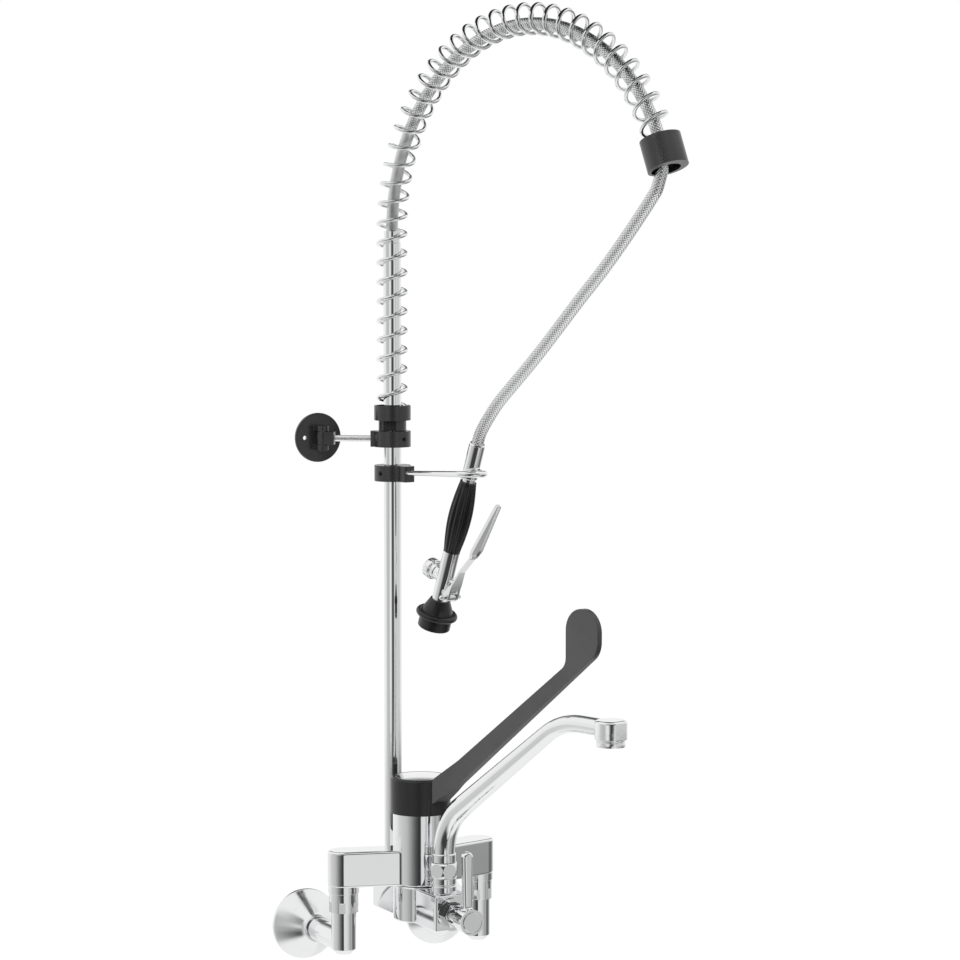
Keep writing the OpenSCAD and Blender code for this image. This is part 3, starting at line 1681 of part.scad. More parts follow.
wall_flange(-1);  // wall_flange_left
wall_flange(1);  // wall_flange_right
inlet_elbow(-1);  // inlet_elbow_left
inlet_elbow(1);  // inlet_elbow_right
union_nut(-1);  // union_nut_left
union_nut(1);  // union_nut_right
union_gaskets();
check_valves();
mixer_body();
cartridge();
cartridge_shroud();
stem_carrier();
stem_pin();
lever_stem();
elbow_lever();
index_cap();
outlet_manifold();
manifold_seal();
spout_socket();
spout_nut();
spout();
aerator();
aerator_screen();
diverter_bonnet();
diverter_spindle();
diverter_handle();
diverter_cap();
riser_nut();
riser_pipe();
hose_coupling();
hose_arch();
spring_seat();
arch_spring();
spring_end_cup();
hook_clamp();
gun_hook();
stay_clamp();
clamp_screws();
stay_rod();
stay_knuckle();
stay_pin();
stay_plate();
free_hose();
hose_ferrule();
gun_grip();
gun_valve_body();
gun_valve_cover();
gun_plunger();
gun_trigger();
trigger_pin();
spray_bumper();
spray_rose();
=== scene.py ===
# %% [markdown]
# # A wall-mounted mixer tap with an elbow lever and a sprung spray arch
#
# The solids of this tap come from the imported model, so everything here is built around them in
# one frame, in metres: +X to the right, +Y into the wall, +Z up. Each step says what a piece is
# on the real object, how it could be made in Blender, and why one way was chosen.

# %% Load the frame
import json
import math

import bpy
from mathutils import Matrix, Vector


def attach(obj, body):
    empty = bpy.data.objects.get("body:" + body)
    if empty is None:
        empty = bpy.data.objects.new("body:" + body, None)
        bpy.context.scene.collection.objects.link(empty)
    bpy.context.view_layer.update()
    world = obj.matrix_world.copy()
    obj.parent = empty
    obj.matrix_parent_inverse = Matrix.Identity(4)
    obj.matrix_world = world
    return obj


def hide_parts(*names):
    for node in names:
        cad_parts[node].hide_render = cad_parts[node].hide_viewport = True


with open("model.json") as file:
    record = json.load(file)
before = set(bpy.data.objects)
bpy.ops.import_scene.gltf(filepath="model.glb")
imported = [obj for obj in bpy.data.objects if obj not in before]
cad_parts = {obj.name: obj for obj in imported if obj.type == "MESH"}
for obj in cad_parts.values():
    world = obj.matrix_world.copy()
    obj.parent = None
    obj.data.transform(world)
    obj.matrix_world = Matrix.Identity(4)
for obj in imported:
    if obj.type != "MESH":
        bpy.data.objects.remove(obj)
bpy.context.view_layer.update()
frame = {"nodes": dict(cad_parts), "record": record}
MM = 0.001

# %% [markdown]
# ## Camera
# A long lens far away keeps the upright riser upright and the two wall flanges nearly the same
# size, as in a catalogue picture. The camera stands to the left of the tap, a little above its
# middle, and looks slightly down, so no lens shift is needed.

# %% Camera
VIEW_TURN = math.radians(-27)
VIEW_PITCH = math.radians(4.47)
LENS_MM, SENSOR_MM = 123.75, 36
EYE = Vector((-1.4298, -3.0546, 0.716))

bpy.ops.object.camera_add(
    location=EYE, rotation=(math.pi / 2 - VIEW_PITCH, 0, VIEW_TURN)
)
camera = bpy.context.object
camera.name = "photo_camera"
camera.data.sensor_fit = "HORIZONTAL"
camera.data.sensor_width = SENSOR_MM
camera.data.lens = LENS_MM
bpy.context.scene.camera = camera
print("camera distance:", round(EYE.length, 3))

# %% [markdown]
# ## Studio
# Polished chrome shows nothing but its surroundings, so the room matters more than the lamps. A
# picture of a studio could light it, but a dome drawn with nodes needs no file, and each of its
# zones can be placed one by one. It only colours what metal reflects. Matt surfaces get an even grey
# fill and two broad lamps, and the camera itself sees plain white.

# %% Helpers for node trees
bpy.context.scene.view_settings.view_transform = "Standard"


def node(tree, kind, **inputs):
    """Adds a shader node and sets the named inputs or properties on it."""
    made = tree.nodes.new(kind)
    for key, value in inputs.items():
        if key in made.inputs:
            made.inputs[key].default_value = value
        else:
            setattr(made, key, value)
    return made


def maths(tree, operation, first, second=None):
    """A Math node; numbers are set on it and sockets are linked to it."""
    made = node(tree, "ShaderNodeMath", operation=operation)
    for index, value in enumerate((first, second)):
        if value is None:
            continue
        if isinstance(value, (int, float)):
            made.inputs[index].default_value = value
        else:
            tree.links.new(value, made.inputs[index])
    return made.outputs[0]


def ramp(tree, factor, stops):
    """A colour ramp of (position, grey or colour) stops."""
    made = node(tree, "ShaderNodeValToRGB")
    elements = made.color_ramp.elements
    while len(elements) < len(stops):
        elements.new(0.5)
    for element, (position, value) in zip(elements, stops):
        element.position = position
        colour = (value, value, value) if isinstance(value, (int, float)) else value
        element.color = (*colour, 1)
    tree.links.new(factor, made.inputs["Fac"])
    return made.outputs["Color"]


def blend(tree, share, first, second):
    """Mixes two colours; plain colours are set on the node and sockets are linked to it."""
    made = node(tree, "ShaderNodeMixRGB")
    tree.links.new(share, made.inputs["Fac"])
    for socket, value in (("Color1", first), ("Color2", second)):
        if isinstance(value, tuple):
            made.inputs[socket].default_value = (*value, 1)
        else:
            tree.links.new(value, made.inputs[socket])
    return made.outputs[0]


def either(tree, share, first, second):
    """Mixes two shaders by a share."""
    made = node(tree, "ShaderNodeMixShader")
    tree.links.new(share, made.inputs[0])
    tree.links.new(first.outputs[0], made.inputs[1])
    tree.links.new(second.outputs[0], made.inputs[2])
    return made


print("view transform:", bpy.context.scene.view_settings.view_transform)

# %% Directions in the dome
world = bpy.data.worlds.new("studio")
bpy.context.scene.world = world
world.use_nodes = True
dome = world.node_tree
dome.nodes.clear()
direction = node(dome, "ShaderNodeTexCoord").outputs["Generated"]
turned = node(dome, "ShaderNodeVectorRotate", rotation_type="Z_AXIS", Angle=-VIEW_TURN)
dome.links.new(direction, turned.inputs["Vector"])
axes = node(dome, "ShaderNodeSeparateXYZ")
dome.links.new(turned.outputs[0], axes.inputs[0])
towards_eye = maths(dome, "MULTIPLY", axes.outputs["Y"], -1.0)
bearing = maths(dome, "ARCTAN2", axes.outputs["X"], towards_eye)
round_room = maths(dome, "ADD", maths(dome, "DIVIDE", bearing, 2 * math.pi), 0.5)
sky_height = axes.outputs["Z"]
half_height = maths(dome, "ADD", maths(dome, "MULTIPLY", sky_height, 0.5), 0.5)


def by_bearing(stops):
    """Greys by bearing in degrees: 0 is towards the camera and 90 is to the camera's right."""
    return ramp(dome, round_room, [(0.5 + degrees / 360, grey) for degrees, grey in stops])


print("dome turned by degrees:", round(math.degrees(-VIEW_TURN)))

# %% [markdown]
# An upright pipe mirrors the whole room in a narrow strip, and one dark gap beside the camera draws
# the dark stripe that tells the eye the pipe is round. The body low down and the riser above it
# mirror different heights of the room, so the dome has two rings of greys. Overhead and far below
# both fade to white.

# %% Two rings of the room
LOWER_ROOM = [
    (-180, 0.95), (-130, 0.9), (-116, 0.86), (-98, 0.7), (-76, 0.62), (-58, 0.54), (-44, 0.38),
    (-30, 0.2), (-18, 0.09), (-6, 0.04), (2, 0.04), (5, 0.8), (34, 0.76), (46, 0.62), (58, 0.5),
    (66, 0.34), (78, 0.5), (92, 0.16), (118, 0.14), (134, 0.5), (150, 0.85), (180, 0.95),
]
UPPER_ROOM = [
    (-180, 0.95), (-118, 0.95), (-96, 0.88), (-79, 0.62), (-60, 0.54), (-48, 0.52), (-35, 0.8),
    (-22, 0.95), (-12, 0.4), (-4, 0.06), (6, 0.05), (14, 0.15), (24, 0.7), (30, 0.82), (43, 0.6),
    (57, 0.7), (89, 0.64), (108, 0.8), (134, 0.95), (180, 0.95),
]
RING_CHANGE = [(0.416, 0.0), (0.424, 1.0)]
FADE = [(0.08, 1.0), (0.15, 0.0), (0.6, 0.0), (0.78, 1.0)]
DOME_WHITE = (0.95, 0.95, 0.95)
rise = ramp(dome, half_height, RING_CHANGE)
rings = blend(dome, rise, by_bearing(LOWER_ROOM), by_bearing(UPPER_ROOM))
pale_room = blend(dome, ramp(dome, half_height, FADE), rings, DOME_WHITE)
print("studio dome stops:", len(LOWER_ROOM), len(UPPER_ROOM))

# %% [markdown]
# Three dark cards finish the dome: a canopy above the camera, an apron below it and a hood high
# behind the tap. Each covers a range of bearings and a range of heights with soft borders, and the
# darker of two cards wins where they overlap.

# %% Dark cards in the dome
CANOPY = [(-46, 0.0), (-28, 1.0), (54, 1.0), (76, 0.0)]
CANOPY_HEIGHT = [(0.04, 0.0), (0.14, 1.0), (0.5, 1.0), (0.62, 0.0)]
APRON = [(-58, 0.0), (-36, 1.0), (18, 1.0), (30, 0.0)]
APRON_HALF_HEIGHT = [(0.14, 0.0), (0.17, 1.0), (0.28, 1.0), (0.34, 0.0)]
HOOD = [(-180, 0.9), (-158, 0.9), (-142, 0.0), (142, 0.0), (158, 0.9), (180, 0.9)]
HOOD_HEIGHT = [(0.3, 0.0), (0.42, 1.0), (0.86, 1.0), (0.95, 0.0)]
CARD_BLACK = (0.05, 0.05, 0.05)
canopy = maths(dome, "MULTIPLY", by_bearing(CANOPY), ramp(dome, sky_height, CANOPY_HEIGHT))
apron = maths(dome, "MULTIPLY", by_bearing(APRON), ramp(dome, half_height, APRON_HALF_HEIGHT))
hood = maths(dome, "MULTIPLY", by_bearing(HOOD), ramp(dome, sky_height, HOOD_HEIGHT))
dark_cards = maths(dome, "MAXIMUM", maths(dome, "MAXIMUM", canopy, apron), hood)
whole_room = blend(dome, dark_cards, pale_room, CARD_BLACK)
print("nodes in the dome so far:", len(dome.nodes))

# %% [markdown]
# Light Path tells rays apart. The camera sees white, mirror and glass rays see the room, and all
# other rays see an even grey that fills the shadows.

# %% What each ray sees of the dome
FILL_GREY = (0.4, 0.4, 0.4)
seen = node(dome, "ShaderNodeLightPath")
mirrored = maths(
    dome, "MAXIMUM", seen.outputs["Is Glossy Ray"], seen.outputs["Is Transmission Ray"]
)
fill_light = node(dome, "ShaderNodeBackground", Color=(*FILL_GREY, 1), Strength=1.0)
mirror_light = node(dome, "ShaderNodeBackground", Strength=1.0)
white_light = node(dome, "ShaderNodeBackground", Color=(1, 1, 1, 1), Strength=1.0)
dome.links.new(whole_room, mirror_light.inputs["Color"])
for_metal = either(dome, mirrored, fill_light, mirror_light)
for_eye = either(dome, seen.outputs["Is Camera Ray"], for_metal, white_light)
dome_out = node(dome, "ShaderNodeOutputWorld")
dome.links.new(for_eye.outputs[0], dome_out.inputs["Surface"])
print("dome nodes:", len(dome.nodes))

# %% [markdown]
# Two square lamps light what is not metal: a strong one from the left and above, and a weak one
# from the right that keeps the shaded sides of black plastic from closing up. Mirror rays miss
# both, so no lamp shows in the chrome.

# %% Lamps
AIM = Vector((0.0, -0.2, 0.45))


def soft_lamp(name, place, size, watts):
    """A square area lamp that looks at the middle of the tap."""
    bpy.ops.object.light_add(type="AREA", location=place)
    lamp = bpy.context.object
    lamp.name = name
    lamp.data.size = size
    lamp.data.energy = watts
    lamp.visible_glossy = False
    lamp.rotation_euler = (AIM - Vector(place)).to_track_quat("-Z", "Y").to_euler()


soft_lamp("key_lamp", place=(-2.2, -1.6, 2.2), size=1.4, watts=92)
soft_lamp("side_lamp", place=(2.4, -1.9, 1.3), size=1.2, watts=6)

# %% [markdown]
# The tap hangs on a wall, so the floor lies well below it. The floor shows as white to the camera
# and keeps a part of its own shading, so the soft shadow stays on it. Chrome looks past it into
# the lower half of the dome.

# %% Floor
FLOOR_Z, FLOOR_SIZE = -0.34, 16
FLOOR_GLOW, FLOOR_GLOW_SHARE = 1.16, 0.85
bpy.ops.mesh.primitive_plane_add(size=FLOOR_SIZE, location=(0, 2, FLOOR_Z))
floor = bpy.context.object
floor.name = "pale_floor"
floor_paint = bpy.data.materials.new("pale_floor")
floor_paint.use_nodes = True
tree = floor_paint.node_tree
tree.nodes.clear()
matt = node(tree, "ShaderNodeBsdfDiffuse", Color=(0.5, 0.5, 0.5, 1))
glow = node(tree, "ShaderNodeEmission", Color=(1, 1, 1, 1), Strength=FLOOR_GLOW)
seen = node(tree, "ShaderNodeLightPath")
share = maths(tree, "MULTIPLY", seen.outputs["Is Camera Ray"], FLOOR_GLOW_SHARE)
pale = either(tree, share, matt, glow)
tree.links.new(pale.outputs[0], node(tree, "ShaderNodeOutputMaterial").inputs["Surface"])
floor.data.materials.append(floor_paint)
floor.visible_glossy = False
print("floor at", FLOOR_Z)

# %% [markdown]
# A photographer hangs a black card over polished wire, because the dark line that it leaves along
# the top of each turn shows that the wire is round. Only mirror rays see the card, so it neither
# shades the tap nor shows in any view.

# %% Dark card
CARD_PLACE = (0.05, -0.26, 1.1)
CARD_SIZE = (0.34, 0.66, 1)
bpy.ops.mesh.primitive_plane_add(size=1, location=CARD_PLACE)
card = bpy.context.object
card.name = "dark_card"
bpy.ops.object.mode_set(mode="EDIT")
bpy.ops.transform.resize(value=CARD_SIZE)
bpy.ops.object.mode_set(mode="OBJECT")
card_paint = bpy.data.materials.new("dark_card")
card_paint.use_nodes = True
tree = card_paint.node_tree
tree.nodes.clear()
black = node(tree, "ShaderNodeBsdfDiffuse", Color=(*CARD_BLACK, 1))
tree.links.new(black.outputs[0], node(tree, "ShaderNodeOutputMaterial").inputs["Surface"])
card.data.materials.append(card_paint)
card.visible_camera = False
card.visible_diffuse = False
card.visible_shadow = False
card.visible_transmission = False
print("card at", CARD_PLACE)

# %% [markdown]
# ## Finishes
# Every finish is procedural and reads Object coordinates, which are metres here, so a noise scale
# of 1000 has features of about a millimetre. A finish that is the same all over is set on the
# shader itself, and only what varies is linked.

# %% Helpers for finishes
NOISE_LOW, NOISE_HIGH = 0.3, 0.7


def finish(name, colour, metallic, roughness, specular=0.5):
    """A material with a Principled shader, and its tree."""
    made = bpy.data.materials.new(name)
    made.use_nodes = True
    shader = made.node_tree.nodes["Principled BSDF"]
    shader.inputs["Base Color"].default_value = (*colour, 1)
    shader.inputs["Metallic"].default_value = metallic
    shader.inputs["Roughness"].default_value = roughness
    shader.inputs["Specular IOR Level"].default_value = specular
    return made, made.node_tree, shader


def noise(tree, scale, detail=3.0, stretch=None):
    """Noise in the piece's own coordinates, drawn out along an axis if stretch is given."""
    place = node(tree, "ShaderNodeTexCoord").outputs["Object"]
    if stretch:
        mapping = node(tree, "ShaderNodeMapping", Scale=stretch)
        tree.links.new(place, mapping.inputs["Vector"])
        place = mapping.outputs[0]
    made = node(tree, "ShaderNodeTexNoise", Scale=scale, Detail=detail)
    tree.links.new(place, made.inputs["Vector"])
    return made.outputs["Fac"]


def spread(tree, value, low, high, target):
    """Maps the usual range of a noise onto a range and links it to a socket."""
    made = node(tree, "ShaderNodeMapRange")
    made.inputs["From Min"].default_value = NOISE_LOW
    made.inputs["From Max"].default_value = NOISE_HIGH
    made.inputs["To Min"].default_value = low
    made.inputs["To Max"].default_value = high
    tree.links.new(value, made.inputs["Value"])
    tree.links.new(made.outputs[0], target)


def bump(tree, shader, value, strength, depth):
    """Relief from a value, with its depth in metres."""
    made = node(tree, "ShaderNodeBump", Strength=strength, Distance=depth)
    tree.links.new(value, made.inputs["Height"])
    tree.links.new(made.outputs[0], shader.inputs["Normal"])


def drift(tree, value, dark, light):
    """A colour that drifts between two close tones."""
    return ramp(tree, value, [(0.35, dark), (0.65, light)])


def shade(tree, shader, value, dark, light):
    """Lets the base colour drift between two close tones."""
    tree.links.new(drift(tree, value, dark, light), shader.inputs["Base Color"])


print("finishes start at material", len(bpy.data.materials))

# %% [markdown]
# ### Metals
# Plated brass is a near mirror. What keeps it from looking like a drawing is a faint film from
# handling, which clouds the mirror in patches, and the slight waviness that polishing leaves. A bent
# pipe is wavier, and a flange spun from sheet is softer. The spring's wire is bright, the trigger
# has a satin grain, and the rod of the wall stay is drawn and left dull.

# %% Chrome plate
CHROME_TINT = (0.88, 0.885, 0.89)
chrome, tree, shader = finish("polished_chrome", CHROME_TINT, 1.0, 0.05)
spread(tree, noise(tree, 34, 4), 0.035, 0.085, shader.inputs["Roughness"])
bump(tree, shader, noise(tree, 160, 2), 0.06, 0.00012)

bent_chrome, tree, shader = finish("bent_pipe_chrome", CHROME_TINT, 1.0, 0.05)
spread(tree, noise(tree, 34, 4), 0.035, 0.085, shader.inputs["Roughness"])
bump(tree, shader, noise(tree, 48, 2), 0.3, 0.0006)

spun_chrome, tree, shader = finish("spun_chrome", CHROME_TINT, 1.0, 0.18)
spread(tree, noise(tree, 90, 4), 0.15, 0.22, shader.inputs["Roughness"])
bump(tree, shader, noise(tree, 160, 2), 0.05, 0.0001)
print("chrome:", chrome.name, bent_chrome.name, spun_chrome.name)

# %% Wire and steel
STEEL_TINT = (0.86, 0.865, 0.87)
wire, tree, shader = finish("spring_wire", STEEL_TINT, 1.0, 0.05)
spread(tree, noise(tree, 60, 4), 0.03, 0.07, shader.inputs["Roughness"])
bump(tree, shader, noise(tree, 900, 2), 0.05, 0.0001)

steel, tree, shader = finish("satin_steel", STEEL_TINT, 1.0, 0.2)
grain = noise(tree, 240, 3, stretch=(6, 6, 0.5))
spread(tree, grain, 0.14, 0.26, shader.inputs["Roughness"])
bump(tree, shader, grain, 0.08, 0.0001)

rod_steel, tree, shader = finish("drawn_rod_steel", (0.95, 0.95, 0.95), 1.0, 0.44)
spread(tree, noise(tree, 60, 3), 0.4, 0.46, shader.inputs["Roughness"])

black_steel, tree, shader = finish("blackened_steel", (0.06, 0.06, 0.062), 1.0, 0.34)
spread(tree, noise(tree, 500, 3), 0.26, 0.42, shader.inputs["Roughness"])
print("steel:", wire.name, steel.name, rod_steel.name, black_steel.name)

# %% [markdown]
# ### Plastics and rubber
# The lever is a grained moulding, a dark grey that is not quite black. Its arm is painted a lighter
# grey than its hub, a painted sheen in place of the key lamp's highlight that mirror rays miss, and
# its hub is glossier. Two materials would need a cut in the mesh, so one material tells hub from arm
# by the distance from the hub's upright axis. Clamps and cups are a denser black with a slight
# shine, the grip is smooth, and the rubber on the spray head is matt.

# %% Lever plastic
BODY_Y = -0.117
HUB_EDGE = 0.0325
HUB_TONE = (0.019, 0.019, 0.020)
HUB_GRAIN = 0.6
lever_plastic, tree, shader = finish("grained_lever_plastic", (0.055, 0.055, 0.057), 0.0, 0.34, 0.3)
place = node(tree, "ShaderNodeSeparateXYZ")
tree.links.new(node(tree, "ShaderNodeTexCoord").outputs["Object"], place.inputs[0])
flat_place = node(tree, "ShaderNodeCombineXYZ")
tree.links.new(place.outputs["X"], flat_place.inputs["X"])
tree.links.new(maths(tree, "SUBTRACT", place.outputs["Y"], BODY_Y), flat_place.inputs["Y"])
from_axis = node(tree, "ShaderNodeVectorMath", operation="LENGTH")
tree.links.new(flat_place.outputs[0], from_axis.inputs[0])
on_arm = maths(tree, "GREATER_THAN", from_axis.outputs["Value"], HUB_EDGE)
# Painted sheen: the arm's lighter tone stands in for the key lamp's highlight, which mirror rays
# miss.
arm_tone_painted_sheen = drift(tree, noise(tree, 22, 4), (0.064, 0.064, 0.066), (0.074, 0.074, 0.076))
tree.links.new(blend(tree, on_arm, HUB_TONE, arm_tone_painted_sheen), shader.inputs["Base Color"])
grain = noise(tree, 1500, 2)
dullness = maths(tree, "MULTIPLY", grain, maths(tree, "ADD", on_arm, HUB_GRAIN))
spread(tree, dullness, 0.2, 0.36, shader.inputs["Roughness"])
bump(tree, shader, grain, 0.1, 0.0001)
print("lever:", lever_plastic.name)

# %% Black plastic and rubber
black_plastic, tree, shader = finish("moulded_black_plastic", (0.017, 0.017, 0.018), 0.0, 0.26, 0.7)
shade(tree, shader, noise(tree, 40, 4), (0.014, 0.014, 0.015), (0.020, 0.020, 0.021))
grain = noise(tree, 1100, 2)
spread(tree, grain, 0.2, 0.32, shader.inputs["Roughness"])
bump(tree, shader, grain, 0.12, 0.00012)

grip_plastic, tree, shader = finish("smooth_grip_plastic", (0.006, 0.006, 0.007), 0.0, 0.22, 0.5)
spread(tree, noise(tree, 120, 4), 0.18, 0.3, shader.inputs["Roughness"])
bump(tree, shader, noise(tree, 1700, 2), 0.08, 0.0001)

rubber, tree, shader = finish("soft_black_rubber", (0.009, 0.009, 0.009), 0.0, 0.3, 0.5)
shade(tree, shader, noise(tree, 90, 4), (0.007, 0.007, 0.007), (0.012, 0.012, 0.012))
spread(tree, noise(tree, 300, 4), 0.2, 0.36, shader.inputs["Roughness"])
bump(tree, shader, noise(tree, 1300, 3), 0.18, 0.00015)
print("black:", black_plastic.name, grip_plastic.name, rubber.name)

# %% Fibre and resin
fibre, tree, shader = finish("pressed_fibre", (0.30, 0.20, 0.14), 0.0, 0.8)
shade(tree, shader, noise(tree, 700, 4), (0.25, 0.16, 0.11), (0.36, 0.25, 0.18))

resin, tree, shader = finish("white_resin", (0.82, 0.81, 0.77), 0.0, 0.4)
shade(tree, shader, noise(tree, 50, 3), (0.80, 0.79, 0.75), (0.85, 0.84, 0.80))
print("inner pieces:", fibre.name, resin.name)

# %% [markdown]
# ### Braid
# The hose wears a sleeve woven from bundles of fine steel wire that cross in two directions. A
# woven mesh of thousands of wires would be heavy, so the hose carries a map of its own, with one
# turn across and metres along it. Two crossing waves in that map lift the weave and darken it in
# the grooves between its bundles, which is painted shade.

# %% Braided steel
BRAID_BUNDLES = 12
BRAID_PITCH = 1 / 0.0032
# The darkest stop is painted shade in the grooves between the bundles.
BRAID_TONES_GROOVE_SHADE = [
    (0.0, (0.1, 0.1, 0.105)), (0.22, (0.8, 0.805, 0.81)), (1.0, (0.96, 0.965, 0.97)),
]
braid, tree, shader = finish("braided_steel", (0.62, 0.63, 0.64), 1.0, 0.3)
around_along = node(tree, "ShaderNodeSeparateXYZ")
tree.links.new(
    node(tree, "ShaderNodeUVMap", uv_map="hose_map").outputs[0], around_along.inputs[0]
)
bundle = maths(tree, "MULTIPLY", around_along.outputs["X"], BRAID_BUNDLES)
length = maths(tree, "MULTIPLY", around_along.outputs["Y"], BRAID_PITCH)


def strands(first, second, operation):
    """Rounded ridges that cross the hose in one direction."""
    lean = maths(tree, operation, first, second)
    return maths(tree, "ABSOLUTE", maths(tree, "SINE", maths(tree, "MULTIPLY", lean, math.pi)))


rising = strands(bundle, length, "ADD")
falling = strands(bundle, length, "SUBTRACT")
weave = maths(tree, "MAXIMUM", rising, falling)
gaps = maths(tree, "MULTIPLY", rising, falling)
# Painted shade: the base colour goes dark along the grooves between the bundles.
tree.links.new(ramp(tree, gaps, BRAID_TONES_GROOVE_SHADE), shader.inputs["Base Color"])
spread(tree, weave, 0.4, 0.18, shader.inputs["Roughness"])
bump(tree, shader, gaps, 0.6, 0.0004)
print("braid bundles:", BRAID_BUNDLES)

# %% [markdown]
# ## Frame of the upper parts
# The arch, the hose, the gun and the spout lie in upright planes that are turned a little to the
# right of straight ahead. Their points are written as a distance in front of an upright axis and a
# height, both in millimetres, so that a drawing from the side can be read off.

# %% Turned plane
PLANE_TURN = math.radians(14)
RISER_Y = -0.054
FORWARD = Vector((math.sin(PLANE_TURN), -math.cos(PLANE_TURN), 0))
ASIDE = Vector((math.cos(PLANE_TURN), math.sin(PLANE_TURN), 0))


def in_plane(forward, height, aside=0.0, axis_y=RISER_Y):
    """A point of the turned plane, from millimetres."""
    base = Vector((0, axis_y, height * MM))
    return base + FORWARD * (forward * MM) + ASIDE * (aside * MM)


print("forward:", [round(v, 3) for v in FORWARD])

# %% Helpers for pieces
BODIES = frame["record"]["behaviour"]["bodies"]


def pick(piece):
    """Selects one object alone."""
    bpy.ops.object.select_all(action="DESELECT")
    piece.select_set(True)
    bpy.context.view_layer.objects.active = piece


def new_piece(name, points, edges, faces):
    """A new object from points in metres, with its place in its mesh."""
    mesh = bpy.data.meshes.new(name)
    mesh.from_pydata(points, edges, faces)
    made = bpy.data.objects.new(name, mesh)
    bpy.context.scene.collection.objects.link(made)
    return made


def faces_out(piece):
    """Turns all faces of a closed shape outwards."""
    pick(piece)
    bpy.ops.object.mode_set(mode="EDIT")
    bpy.ops.mesh.select_all(action="SELECT")
    bpy.ops.mesh.normals_make_consistent(inside=False)
    bpy.ops.object.mode_set(mode="OBJECT")


def stand_for(piece, node_name, material):
    """A finished piece rides with its node's body and is shown in place of that node."""
    piece.data.materials.clear()
    piece.data.materials.append(material)
    body = next(b for b, names in BODIES.items() if node_name in names)
    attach(piece, body)
    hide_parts(node_name)


print("bodies:", ", ".join(BODIES))

# %% Smooth lines and round tubes
TUBE_SMOOTH = math.radians(50)


def smooth_path(points, steps):
    """A smooth line through points, with steps between each two of them."""
    padded = [2 * points[0] - points[1], *points, 2 * points[-1] - points[-2]]
    path = []
    for a, b, c, d in zip(padded, padded[1:], padded[2:], padded[3:]):
        for step in range(steps):
            t = step / steps
            path.append(
                0.5 * (2 * b + (c - a) * t + (2 * a - 5 * b + 4 * c - d) * t * t
                       + (3 * b - a - 3 * c + d) * t ** 3)
            )
    path.append(points[-1].copy())
    return path


def ring_faces(rings, around):
    """Faces between rings of points that follow each other, with a cap on both ends."""
    faces = []
    for i in range(rings - 1):
        for k in range(around):
            a, b = i * around + k, i * around + (k + 1) % around
            faces.append((a, b, b + around, a + around))
    last = (rings - 1) * around
    faces.append(tuple(range(around - 1, -1, -1)))
    faces.append(tuple(range(last, last + around)))
    return faces


def tube_map(piece, run, sides):
    """A map of turns across and metres along a tube, in the order of its faces."""
    maps = []
    for low, high in zip(run, run[1:]):
        for k in range(sides):
            left, right = k / sides, (k + 1) / sides
            maps.append([(left, low), (right, low), (right, high), (left, high)])
    maps += [[(0.5, 0.0)] * sides, [(0.5, run[-1])] * sides]
    layer = piece.data.uv_layers.new(name="hose_map")
    for polygon, corners in zip(piece.data.polygons, maps):
        for loop, corner in zip(polygon.loop_indices, corners):
            layer.data[loop].uv = corner


def round_tube(name, path, radius, sides, side_hint):
    """A capped tube along a path, and its length.

    The radius is one number, or a list with one for each point.
    """
    run = [0.0]
    for first, second in zip(path, path[1:]):
        run.append(run[-1] + (second - first).length)
    points = []
    for i, point in enumerate(path):
        along = (path[min(i + 1, len(path) - 1)] - path[max(i - 1, 0)]).normalized()
        hint = side_hint(i) if callable(side_hint) else side_hint
        across = along.cross(hint).normalized()
        up = across.cross(along)
        r = radius[i] if isinstance(radius, list) else radius
        for k in range(sides):
            turn = 2 * math.pi * k / sides
            points.append(point + r * (math.cos(turn) * across + math.sin(turn) * up))
    made = new_piece(name, points, [], ring_faces(len(path), sides))
    tube_map(made, run, sides)
    faces_out(made)
    bpy.ops.object.shade_smooth_by_angle(angle=TUBE_SMOOTH)
    return made, run[-1]


print("tubes are smooth up to degrees:", round(math.degrees(TUBE_SMOOTH)))

# %% [markdown]
# ## Hose
# The hose leaves the end of the spring, turns down through the cup and falls in a slack line to
# the spray gun. A curve with a round bevel would do, but the braid needs its own map, so a tube is
# drawn along the line. The hose's length is fixed, so its route is written once.

# %% Free hose
HOSE_R, HOSE_SIDES = 6 * MM, 24
HOSE_ROUTE = [
    (384, 795), (388, 783), (389, 772), (388, 763), (385, 754), (381, 745), (375, 738),
    (366, 728), (346, 707), (326, 687), (305, 667), (280, 645), (256, 623), (231, 600),
    (206, 578), (182, 558), (162, 541), (147, 525), (136, 511), (131, 500),
]
ROUTE_STEPS = 6
hose_path = smooth_path([in_plane(s, z) for s, z in HOSE_ROUTE], ROUTE_STEPS)
hose, hose_length = round_tube("spray_hose", hose_path, HOSE_R, HOSE_SIDES, ASIDE)
stand_for(hose, "free_hose", braid)
print("hose length in mm:", round(hose_length / MM, 1))

# %% [markdown]
# Inside the spring the hose follows the arch. It is thinner than the spring's inside, so at the top
# it sinks a little towards the lower side of the curls.

# %% Hose inside the spring
ARCH_R, ARCH_Z = 202, 707
HOSE_TURN, HOSE_SAG = 154, 5
ARCH_STEPS = 90


def arch_point(angle, out=0.0):
    """A point over the arch, from its angle in degrees and a distance outwards."""
    a = math.radians(angle)
    return in_plane(ARCH_R - (ARCH_R + out) * math.cos(a), ARCH_Z + (ARCH_R + out) * math.sin(a))


arch_path = []
for i in range(ARCH_STEPS + 1):
    sag = HOSE_SAG * math.sin(math.pi * i / ARCH_STEPS) ** 2
    arch_path.append(arch_point(HOSE_TURN * i / ARCH_STEPS, -sag))
arch_hose, arch_length = round_tube("arch_hose", arch_path, HOSE_R, HOSE_SIDES, ASIDE)
stand_for(arch_hose, "hose_arch", braid)
print("hose in the arch in mm:", round(arch_length / MM, 1))

